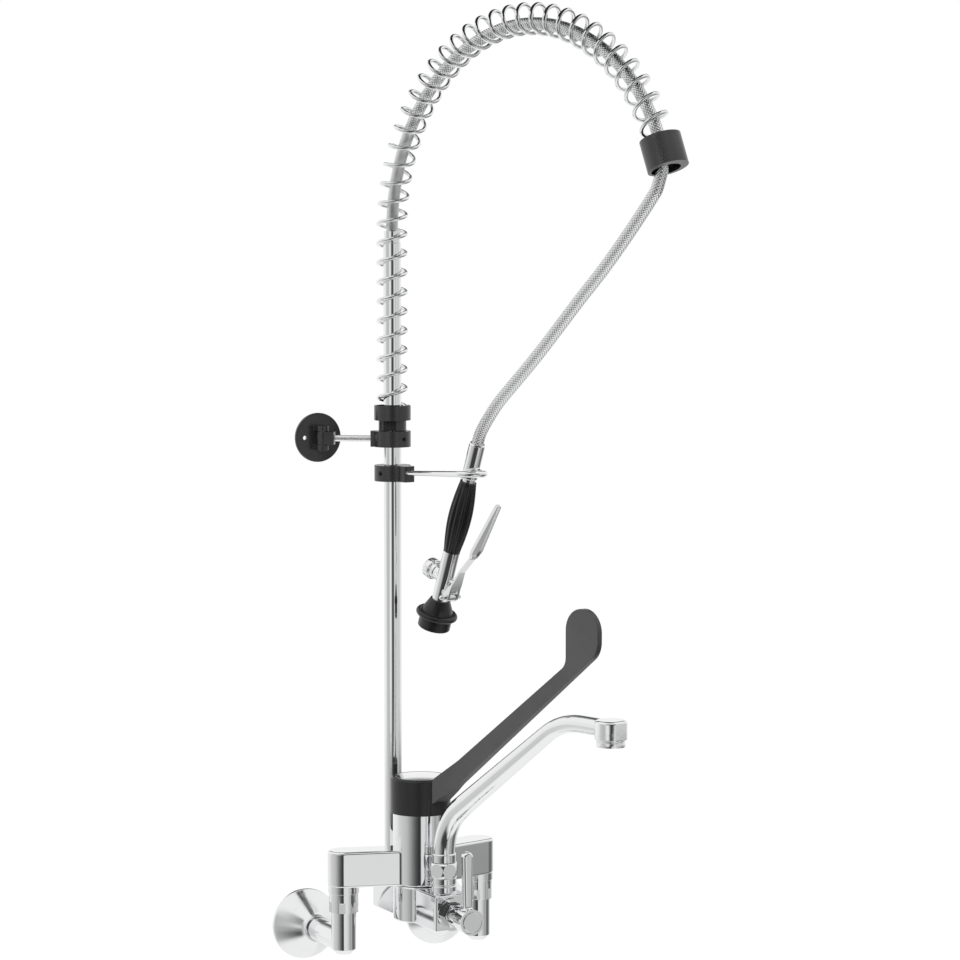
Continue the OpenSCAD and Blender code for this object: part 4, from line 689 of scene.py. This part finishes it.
# %% [markdown]
# ## Spring
# An open spring of 38 curls climbs the riser and follows the arch, and its wire is thick enough
# to hold the hose up. A Screw modifier bent along a curve would do, but the curls have to sit
# where the solid's curls sit, so the wire's line is worked out point by point: a circle that
# travels along the arch. The line then becomes a round tube.

# %% Arch spring
SPRING_R = 14
WIRE_R, WIRE_SIDES = 2 * MM, 14
SPRING_TURNS, POINTS_PER_TURN = 38, 28
SPRING_Z = 526.991
SPRING_LEN = 737.049


def spring_frame(length):
    """Point, outward direction and heading on the spring's middle line."""
    angle = max(0.0, length - (ARCH_Z - SPRING_Z)) / ARCH_R
    if angle == 0.0:
        point = (0.0, SPRING_Z + length)
    else:
        point = (ARCH_R * (1 - math.cos(angle)), ARCH_Z + ARCH_R * math.sin(angle))
    out = FORWARD * math.cos(angle) - Vector((0, 0, math.sin(angle)))
    along = FORWARD * math.sin(angle) + Vector((0, 0, math.cos(angle)))
    return in_plane(*point), out, along


def past_end(path, end, inner):
    """A point one wire's width past an end of a path."""
    return path[end] + (path[end] - path[inner]).normalized() * 2 * WIRE_R


spring_path, headings = [], []
steps = SPRING_TURNS * POINTS_PER_TURN
for i in range(steps + 1):
    middle, out, along = spring_frame(SPRING_LEN * i / steps)
    turn = 2 * math.pi * i / POINTS_PER_TURN
    spring_path.append(middle + SPRING_R * MM * (math.cos(turn) * out + math.sin(turn) * ASIDE))
    headings.append(along)
spring_path = [past_end(spring_path, 0, 1), *spring_path, past_end(spring_path, -1, -2)]
headings = [headings[0], *headings, headings[-1]]
spring, wire_length = round_tube(
    "arch_spring_wire", spring_path, WIRE_R, WIRE_SIDES, lambda i: headings[i]
)
stand_for(spring, "arch_spring", wire)
print("wire in the spring in mm:", round(wire_length / MM))

# %% [markdown]
# ## Softened castings
# A cast and polished part has no sharp edge: each edge is a small round that catches a line of
# light. The solids have sharp edges, so each gets a copy whose loose triangles are merged and
# whose flat faces are joined again, and a Bevel modifier rounds every edge sharper than a limit.

# %% Helpers for rounded edges
SHARP = math.radians(32)
MERGE_WITHIN = 0.000004
FLAT_WITHIN = math.radians(0.3)


def even_flats(piece, smooth):
    """Smooths what is round and lets wide faces set the shading, so flats stay flat to the rim."""
    pick(piece)
    bpy.ops.object.shade_smooth_by_angle(angle=smooth)
    weighing = piece.modifiers.new("even_flats", "WEIGHTED_NORMAL")
    weighing.mode = "FACE_AREA"
    weighing.weight = 100
    weighing.keep_sharp = True
    bpy.ops.object.modifier_apply(modifier=weighing.name)


def softened(node_name, width, material, segments=3, clamp=True):
    """A copy of a solid with its sharp edges rounded, in millimetres, shown in its place."""
    made = bpy.data.objects.new(node_name + "_finished", frame["nodes"][node_name].data.copy())
    bpy.context.scene.collection.objects.link(made)
    pick(made)
    bpy.ops.object.mode_set(mode="EDIT")
    bpy.ops.mesh.select_all(action="SELECT")
    bpy.ops.mesh.remove_doubles(threshold=MERGE_WITHIN)
    bpy.ops.mesh.dissolve_limited(angle_limit=FLAT_WITHIN)
    bpy.ops.object.mode_set(mode="OBJECT")
    rounding = made.modifiers.new("edge_round", "BEVEL")
    rounding.width = width * MM
    rounding.segments = segments
    rounding.limit_method = "ANGLE"
    rounding.angle_limit = SHARP
    rounding.miter_outer = "MITER_ARC"
    rounding.use_clamp_overlap = clamp
    bpy.ops.object.modifier_apply(modifier=rounding.name)
    even_flats(made, SHARP)
    stand_for(made, node_name, material)


print("edges are rounded from degrees:", round(math.degrees(SHARP)))

# %% Softened copies
SOFT_CHROME = {
    "inlet_elbow_left": 0.4, "inlet_elbow_right": 0.4, "union_nut_left": 0.5, "union_nut_right": 0.5,
    "spout_socket": 0.5, "spout_nut": 0.3, "aerator": 0.4, "diverter_bonnet": 0.5,
    "diverter_cap": 0.4, "riser_nut": 0.5, "hose_coupling": 0.5, "hose_ferrule": 0.3,
    "gun_hook": 0.2, "gun_valve_body": 0.5, "index_cap": 0.3, "cartridge_shroud": 0.3,
    "trigger_pin": 0.2, "riser_pipe": 0.3,
}
SOFT_BLACK = {
    "spring_seat": 0.7, "hook_clamp": 0.6, "stay_clamp": 0.6, "stay_knuckle": 0.6, "stay_plate": 0.5,
}
for name, width in SOFT_CHROME.items():
    softened(name, width, chrome)
for name, width in SOFT_BLACK.items():
    softened(name, width, black_plastic)
print("softened pieces:", len(SOFT_CHROME) + len(SOFT_BLACK))

# %% [markdown]
# The diverter's handle and the outlet block have wider rounds than the rest, and the lever, the
# trigger, the stay's rod, the screws and the spray head have finishes of their own.

# %% Softened copies with their own round or finish
softened("gun_trigger", 0.5, steel)
softened("stay_rod", 0.4, rod_steel)
softened("diverter_handle", 2.6, chrome, segments=6, clamp=False)
softened("outlet_manifold", 2.2, chrome, clamp=False)
softened("elbow_lever", 1.2, lever_plastic)
softened("spray_bumper", 0.6, rubber)
softened("spray_rose", 0.3, black_plastic)
softened("clamp_screws", 0.2, black_steel)

# %% [markdown]
# ## Wall flanges
# A flange is spun from sheet on a lathe, so a Spin of its outline makes it the same way. Its
# corners are rounded in the outline first, and the fine steps keep the mirror free of facets.

# %% Helpers for spun pieces
LATHE_STEPS = 128
LATHE_MERGE = 0.000002
SMOOTH = math.radians(35)


def rounded_outline(points, steps=5):
    """Corners (radius, distance, round) become short arcs, all in millimetres."""
    outline = []
    for i, (r, d, rounding) in enumerate(points):
        here = Vector((r, d))
        if rounding == 0:
            outline.append(here)
            continue
        before = Vector(points[i - 1][:2]) - here
        after = Vector(points[(i + 1) % len(points)][:2]) - here
        start = here + before.normalized() * rounding
        end = here + after.normalized() * rounding
        for k in range(steps + 1):
            t = k / steps
            outline.append((1 - t) ** 2 * start + 2 * t * (1 - t) * here + t * t * end)
    return outline


def spun(name, points, foot, axis):
    """Spins a closed outline round an axis that starts at a foot point."""
    axis = Vector(axis).normalized()
    side = axis.orthogonal().normalized()
    ring = []
    for p in rounded_outline(points):
        ring.append(Vector(foot) + side * (p.x * MM) + axis * (p.y * MM))
    edges = [(i, (i + 1) % len(ring)) for i in range(len(ring))]
    made = new_piece(name, ring, edges, [])
    pick(made)
    bpy.ops.object.mode_set(mode="EDIT")
    bpy.ops.mesh.select_all(action="SELECT")
    bpy.ops.mesh.spin(steps=LATHE_STEPS, angle=2 * math.pi, center=foot, axis=axis)
    bpy.ops.mesh.select_all(action="SELECT")
    bpy.ops.mesh.remove_doubles(threshold=LATHE_MERGE)
    bpy.ops.mesh.delete_loose(use_verts=True, use_edges=True, use_faces=False)
    bpy.ops.object.mode_set(mode="OBJECT")
    faces_out(made)
    bpy.ops.object.shade_smooth_by_angle(angle=SMOOTH)
    return made


print("steps round the lathe:", LATHE_STEPS)

# %% Wall flanges
INLET_X = 0.075
FLANGE = [
    (36, 0, 0), (36, 3.5, 1.2), (29.2, 11.8, 6), (21.6, 20.2, 6), (14.65, 27, 1.5),
    (13.65, 28.5, 0.6), (13.65, 33, 0.5), (12.1, 33, 0), (12.1, 25.4, 0), (34.4, 1.9, 0),
    (34.4, 0, 0),
]
for node_name, x in (("wall_flange_left", -INLET_X), ("wall_flange_right", INLET_X)):
    flange = spun(node_name + "_spun", FLANGE, (x, 0, 0), (0, -1, 0))
    stand_for(flange, node_name, spun_chrome)
print("flange faces:", len(flange.data.polygons))

# %% [markdown]
# ## Spout
# The spout is one bent pipe that narrows to its outlet, so it is a tube along a line of two
# straights and two bends. The outlet head and the foot start as cylinders, are cut and bevelled
# in edit mode, and a Boolean modifier joins each to the pipe, as brazing does.

# %% Line of the spout
SPOUT_Y = -0.170
SPOUT_BASE_Z, SPOUT_FOOT_Z = 86.3, 94.3
SPOUT_BEND_R, SPOUT_TOP_BEND_R = 60, 85
SPOUT_SLOPE = math.radians(35)
SPOUT_RISE, SPOUT_LEVEL = 152.5, 40.5
SPOUT_FOOT_R, SPOUT_TIP_R = 10.8, 8.6
PIPE_IN_FOOT = 4
BEND_STEPS, RISE_STEPS, TOP_STEPS = 24, 12, 20


def spout_line():
    """Points (forward, height) and radius along the pipe, in millimetres."""
    line = [(0.0, SPOUT_FOOT_Z - PIPE_IN_FOOT, SPOUT_FOOT_R)]
    turn = math.pi / 2 - SPOUT_SLOPE
    for i in range(BEND_STEPS + 1):
        a = turn * i / BEND_STEPS
        s, z = SPOUT_BEND_R * (1 - math.cos(a)), SPOUT_FOOT_Z + SPOUT_BEND_R * math.sin(a)
        line.append((s, z, SPOUT_FOOT_R))
    for i in range(1, RISE_STEPS + 1):
        run = SPOUT_RISE * i / RISE_STEPS
        radius = SPOUT_FOOT_R + (SPOUT_TIP_R - SPOUT_FOOT_R) * i / RISE_STEPS
        line.append((s + run * math.cos(SPOUT_SLOPE), z + run * math.sin(SPOUT_SLOPE), radius))
    s, z, _ = line[-1]
    bend_s = s + SPOUT_TOP_BEND_R * math.sin(SPOUT_SLOPE)
    bend_z = z - SPOUT_TOP_BEND_R * math.cos(SPOUT_SLOPE)
    for i in range(1, TOP_STEPS + 1):
        a = SPOUT_SLOPE * (1 - i / TOP_STEPS)
        s, z = bend_s - SPOUT_TOP_BEND_R * math.sin(a), bend_z + SPOUT_TOP_BEND_R * math.cos(a)
        line.append((s, z, SPOUT_TIP_R))
    line.append((s + SPOUT_LEVEL, z, SPOUT_TIP_R))
    return line


line = spout_line()
print("spout reaches mm:", round(line[-1][0], 1))

# %% Helpers for blocks that are joined and cut
CYLINDER_SIDES = 96
RIM_STEPS = 5
LEVEL_WITHIN = 1e-6


def cylinder(name, radius, length, middle, rotation=(0, 0, 0)):
    """A cylinder from millimetres, with its place applied to its mesh."""
    bpy.ops.object.select_all(action="DESELECT")
    bpy.ops.mesh.primitive_cylinder_add(
        vertices=CYLINDER_SIDES, radius=radius * MM, depth=length * MM,
        location=middle, rotation=rotation,
    )
    made = bpy.context.object
    made.name = name
    bpy.ops.object.transform_apply(location=True, rotation=True, scale=True)
    return made


def block_round(name, middle, radius, height, round_top, round_foot, flat=None):
    """A short upright cylinder with rounded rims, cut flat in front at a distance."""
    made = cylinder(name, radius, height, middle)
    bpy.ops.object.mode_set(mode="EDIT")
    if flat is not None:
        bpy.ops.mesh.select_all(action="SELECT")
        bpy.ops.mesh.bisect(
            plane_co=Vector(middle) + FORWARD * (flat * MM), plane_no=FORWARD,
            use_fill=True, clear_outer=True,
        )
    for level, width in ((height / 2, round_top), (-height / 2, round_foot)):
        bpy.ops.mesh.select_all(action="DESELECT")
        bpy.ops.object.mode_set(mode="OBJECT")
        rim_z = middle[2] + level * MM
        for edge in made.data.edges:
            ends = [made.data.vertices[v].co for v in edge.vertices]
            edge.select = all(abs(end.z - rim_z) < LEVEL_WITHIN for end in ends)
        bpy.ops.object.mode_set(mode="EDIT")
        bpy.ops.mesh.select_mode(type="EDGE")
        bpy.ops.mesh.bevel(offset=width * MM, segments=RIM_STEPS)
    bpy.ops.object.mode_set(mode="OBJECT")
    return made


def combined(piece, other, operation):
    """Joins another closed shape to a piece, or cuts it out, and removes the other."""
    boolean = piece.modifiers.new("combine", "BOOLEAN")
    boolean.operation = operation
    boolean.solver = "EXACT"
    boolean.object = other
    pick(piece)
    bpy.ops.object.modifier_apply(modifier=boolean.name)
    bpy.data.objects.remove(other)


print("sides of a cylinder:", CYLINDER_SIDES)

# %% Spout
SPOUT_SIDES = 56
SPOUT_LIP = 0.8
HEAD_R, HEAD_FLAT, HEAD_H = 15.5, 14, 2 * SPOUT_TIP_R + SPOUT_LIP
COLLAR_R, COLLAR_H = 12, SPOUT_FOOT_Z - SPOUT_BASE_Z + SPOUT_LIP
HEAD_ROUND, COLLAR_ROUND, FOOT_ROUND = 3, 1.2, 0.6
spout_path = [in_plane(s, z, axis_y=SPOUT_Y) for s, z, _ in line]
spout_radii = [r * MM for _, _, r in line]
spout, spout_length = round_tube("bent_spout", spout_path, spout_radii, SPOUT_SIDES, ASIDE)
head_s, level_z, _ = line[-1]
head_middle = in_plane(head_s, level_z + SPOUT_TIP_R - HEAD_H / 2, axis_y=SPOUT_Y)
head = block_round("outlet_head", head_middle, HEAD_R, HEAD_H, HEAD_ROUND, FOOT_ROUND, HEAD_FLAT)
combined(spout, head, "UNION")
collar_middle = in_plane(0, SPOUT_BASE_Z + COLLAR_H / 2, axis_y=SPOUT_Y)
collar = block_round("spout_foot", collar_middle, COLLAR_R, COLLAR_H, COLLAR_ROUND, FOOT_ROUND)
combined(spout, collar, "UNION")
even_flats(spout, SMOOTH)
stand_for(spout, "spout", bent_chrome)
print("spout pipe in mm:", round(spout_length / MM, 1))

# %% [markdown]
# ## Mixer body
# The body is one casting: two arms that leave an upright barrel in soft hollows and end over the
# inlets. The plan of both arms is drawn as one outline, extruded, and its rims are bevelled, then
# the barrel and the two feet are joined to it and the chamber for the cartridge is cut.

# %% Plan of the arms
ARM_Z, ARM_H, ARM_R = 56, 36, 16
BARREL_R, BARREL_H = 27.5, 72
ARM_REACH, ARM_SWEEP = 75, 21
HOLLOW_R, HOLLOW_SINK = 6, 0.2
ARM_ROOT_R = 19
HOLLOW_STEPS, END_STEPS = 8, 24
ARM_LEN = math.hypot(ARM_REACH, ARM_SWEEP)
ARM_TURN = math.atan2(ARM_SWEEP, ARM_REACH)


def arm_side():
    """One side of an arm, from its hollow to the end, as (along, across) millimetres."""
    ring = BARREL_R - HOLLOW_SINK + HOLLOW_R
    across = ARM_R + HOLLOW_R
    along = math.sqrt(ring ** 2 - across ** 2)
    lean = math.atan2(across, along)
    side = [(ARM_ROOT_R * math.cos(lean), ARM_ROOT_R * math.sin(lean))]
    for i in range(HOLLOW_STEPS + 1):
        a = -math.pi + lean + (math.pi / 2 - lean) * i / HOLLOW_STEPS
        side.append((along + HOLLOW_R * math.cos(a), across + HOLLOW_R * math.sin(a)))
    for i in range(END_STEPS + 1):
        a = math.pi / 2 * (1 - i / END_STEPS)
        side.append((ARM_LEN + ARM_R * math.cos(a), ARM_R * math.sin(a)))
    return side


def arms_plan():
    """The outline of both arms, round the barrel's axis."""
    side = arm_side()
    whole = [(t, -n) for t, n in side] + [(t, n) for t, n in reversed(side[:-1])]
    plan = []
    for turn in (ARM_TURN, math.pi - ARM_TURN):
        c, d = math.cos(turn), math.sin(turn)
        plan += [Vector((t * c - n * d, t * d + n * c)) for t, n in whole]
    return plan


plan = arms_plan()
print("points in the plan:", len(plan))

# %% Arms
BODY_ROUND, BODY_ROUND_STEPS = 2.6, 6
plan_points = [(p.x * MM, BODY_Y + p.y * MM, ARM_Z * MM) for p in plan]
casting = new_piece("cast_mixer_body", plan_points, [], [list(range(len(plan)))])
pick(casting)
bpy.ops.object.mode_set(mode="EDIT")
bpy.ops.mesh.select_all(action="SELECT")
bpy.ops.mesh.extrude_region_move(TRANSFORM_OT_translate={"value": (0, 0, ARM_H * MM)})
bpy.ops.mesh.select_all(action="SELECT")
bpy.ops.mesh.normals_make_consistent(inside=False)
bpy.ops.mesh.select_mode(type="EDGE")
bpy.ops.mesh.select_all(action="DESELECT")
bpy.ops.object.mode_set(mode="OBJECT")
for edge in casting.data.edges:
    low, high = (casting.data.vertices[v].co.z for v in edge.vertices)
    edge.select = abs(low - high) < LEVEL_WITHIN
bpy.ops.object.mode_set(mode="EDIT")
bpy.ops.mesh.bevel(offset=BODY_ROUND * MM, segments=BODY_ROUND_STEPS, clamp_overlap=False)
bpy.ops.object.mode_set(mode="OBJECT")
print("faces of the arms:", len(casting.data.polygons))

# %% Barrel, feet and chamber
FOOT_Z, FOOT_H, FOOT_R = 49, 8, 15.4
CHAMBER_R, CHAMBER_Z = 17.5, 72
TOP_ROUND = 0.4
barrel_middle = (0, BODY_Y, (ARM_Z + BARREL_H / 2) * MM)
barrel = block_round("barrel", barrel_middle, BARREL_R, BARREL_H, TOP_ROUND, BODY_ROUND)
combined(casting, barrel, "UNION")
for x in (-ARM_REACH, ARM_REACH):
    foot_middle = (x * MM, BODY_Y + ARM_SWEEP * MM, (FOOT_Z + FOOT_H / 2) * MM)
    foot = block_round("arm_foot", foot_middle, FOOT_R, FOOT_H, TOP_ROUND, FOOT_ROUND)
    combined(casting, foot, "UNION")
chamber_middle = (0, BODY_Y, (CHAMBER_Z + BARREL_H / 2) * MM)
chamber = cylinder("chamber", CHAMBER_R, BARREL_H, chamber_middle)
combined(casting, chamber, "DIFFERENCE")
even_flats(casting, SMOOTH)
stand_for(casting, "mixer_body", chrome)
print("mixer body faces:", len(casting.data.polygons))

# %% [markdown]
# ## End cup
# The spring ends in a black cup with a thick floor, and the hose leaves through a hole that lies
# towards the inside of the arch. Two Boolean cuts in a cylinder open the socket for the spring and
# the hole for the hose, and a Bevel modifier then rounds the rims.

# %% End cup
CUP_TURN = 158
CUP_R, CUP_LEN, CUP_SOCKET_R, CUP_SOCKET = 19.5, 30, 16.9, 14
CUP_HOLE_R, CUP_HOLE_SHIFT = 14, 3
CUP_FLOOR = 3.1
CUT_ABOVE, CUT_INSIDE = 2, 1
CUP_RIM, CUP_RIM_STEPS = 0.9, 4
CUP_SHARP = math.radians(40)
cup_seat = arch_point(CUP_TURN)
turn = math.radians(CUP_TURN)
cup_along = FORWARD * math.sin(turn) + Vector((0, 0, math.cos(turn)))
cup_inward = FORWARD * math.cos(turn) - Vector((0, 0, math.sin(turn)))
cup_up = CUP_FLOOR - CUP_SOCKET


def cup_cylinder(name, radius, start, length, shift=0.0):
    """A cylinder along the cup's axis, from a distance past the end of the spring."""
    middle = cup_seat + cup_along * ((start + length / 2) * MM) + cup_inward * (shift * MM)
    return cylinder(name, radius, length, middle, cup_along.to_track_quat("Z", "Y").to_euler())


cup = cup_cylinder("hose_end_cup", CUP_R, cup_up, CUP_LEN)
socket_len = CUP_SOCKET + CUT_ABOVE
socket = cup_cylinder("spring_socket", CUP_SOCKET_R, cup_up - CUT_ABOVE, socket_len)
combined(cup, socket, "DIFFERENCE")
hole_start = cup_up + CUP_SOCKET - CUT_INSIDE
hole = cup_cylinder("hose_hole", CUP_HOLE_R, hole_start, CUP_LEN, CUP_HOLE_SHIFT)
combined(cup, hole, "DIFFERENCE")
rims = cup.modifiers.new("rims", "BEVEL")
rims.width = CUP_RIM * MM
rims.segments = CUP_RIM_STEPS
rims.limit_method = "ANGLE"
rims.angle_limit = CUP_SHARP
bpy.ops.object.modifier_apply(modifier=rims.name)
even_flats(cup, SMOOTH)
stand_for(cup, "spring_end_cup", black_plastic)
print("cup length in mm:", CUP_LEN)

# %% [markdown]
# ## Grip
# The grip is a slim barrel with long round grooves that run out before its ends. Grooves cut with
# booleans would leave hard ends, so the barrel is drawn as rings whose radius falls in the grooves.

# %% The gun's own axes
GUN_TILT = math.radians(19.7)
GUN_TOP = HOSE_ROUTE[-1]
GUN_DOWN = -FORWARD * math.sin(GUN_TILT) - Vector((0, 0, math.cos(GUN_TILT)))
GUN_FRONT = FORWARD * math.cos(GUN_TILT) - Vector((0, 0, math.sin(GUN_TILT)))


def on_gun(front, down, aside=0.0):
    """A point in the gun's own axes: in front of its axis, down from its top, to its side."""
    point = in_plane(*GUN_TOP) + GUN_FRONT * (front * MM) + GUN_DOWN * (down * MM)
    return point + ASIDE * (aside * MM)


print("gun top:", [round(v, 4) for v in on_gun(0, 0)])

# %% Grooved grip
GRIP_TOP, GRIP_LEN = 41, 75
GRIP_END_R, GRIP_BELLY_R = 8.2, 12.0
GRIP_RIBS, GRIP_GROOVE = 12, 1.25
GRIP_AROUND, GRIP_RINGS = 192, 44
GRIP_RIM = 0.92
GRIP_SMOOTH = math.radians(40)


def grip_radius(v, turn):
    """Radius of the grip at a share of its length and an angle."""
    swell = math.sin(math.pi * v)
    barrel = GRIP_END_R + (GRIP_BELLY_R - GRIP_END_R) * swell
    groove = GRIP_GROOVE * math.sin(turn * GRIP_RIBS / 2) ** 4 * math.sqrt(max(0.0, swell))
    return barrel - groove


grip_rings = [(i / GRIP_RINGS, 1.0) for i in range(GRIP_RINGS + 1)]
grip_rings = [(0.0, GRIP_RIM), *grip_rings, (1.0, GRIP_RIM)]
grip_points = []
for v, scale in grip_rings:
    down = GRIP_TOP + GRIP_LEN * (1 - v)
    for k in range(GRIP_AROUND):
        turn = 2 * math.pi * k / GRIP_AROUND
        r = grip_radius(v, turn) * scale
        grip_points.append(on_gun(r * math.cos(turn), down, r * math.sin(turn)))
grip = new_piece("grooved_grip", grip_points, [], ring_faces(len(grip_rings), GRIP_AROUND))
faces_out(grip)
bpy.ops.object.shade_smooth_by_angle(angle=GRIP_SMOOTH)
stand_for(grip, "gun_grip", grip_plastic)
print("grip points:", len(grip_points))

# %% [markdown]
# ## Valve cover
# The cover behind the gun is a turned knob, so it is spun like the flanges. Its bore takes the
# plunger.

# %% Spun valve cover
COVER_BACK, COVER_DOWN = 12, 144
COVER = [
    (5.3, 0, 0), (8.4, 0, 0.4), (8.4, 4.9, 0.6), (10.5, 4.9, 1.4), (10.5, 14, 2.5),
    (0, 14, 0), (0, 11, 0), (5.3, 11, 0),
]
cover = spun("spun_valve_cover", COVER, on_gun(-COVER_BACK, COVER_DOWN), -GUN_FRONT)
stand_for(cover, "gun_valve_cover", chrome)
print("cover faces:", len(cover.data.polygons))

# %% [markdown]
# ## Hidden pieces
# The cartridge, its stem, the seals and the plunger are solids whose shape is right, so they only
# get their finish.

# %% Finishes of the solids that stay
KEPT = {
    "union_gaskets": fibre, "check_valves": resin, "cartridge": resin, "stem_carrier": resin,
    "stem_pin": steel, "lever_stem": steel, "manifold_seal": rubber, "aerator_screen": steel,
    "diverter_spindle": steel, "stay_pin": steel, "gun_plunger": steel,
}
for name, material in KEPT.items():
    solid = frame["nodes"][name]
    solid.data.materials.clear()
    solid.data.materials.append(material)
print("kept solids:", len(KEPT))
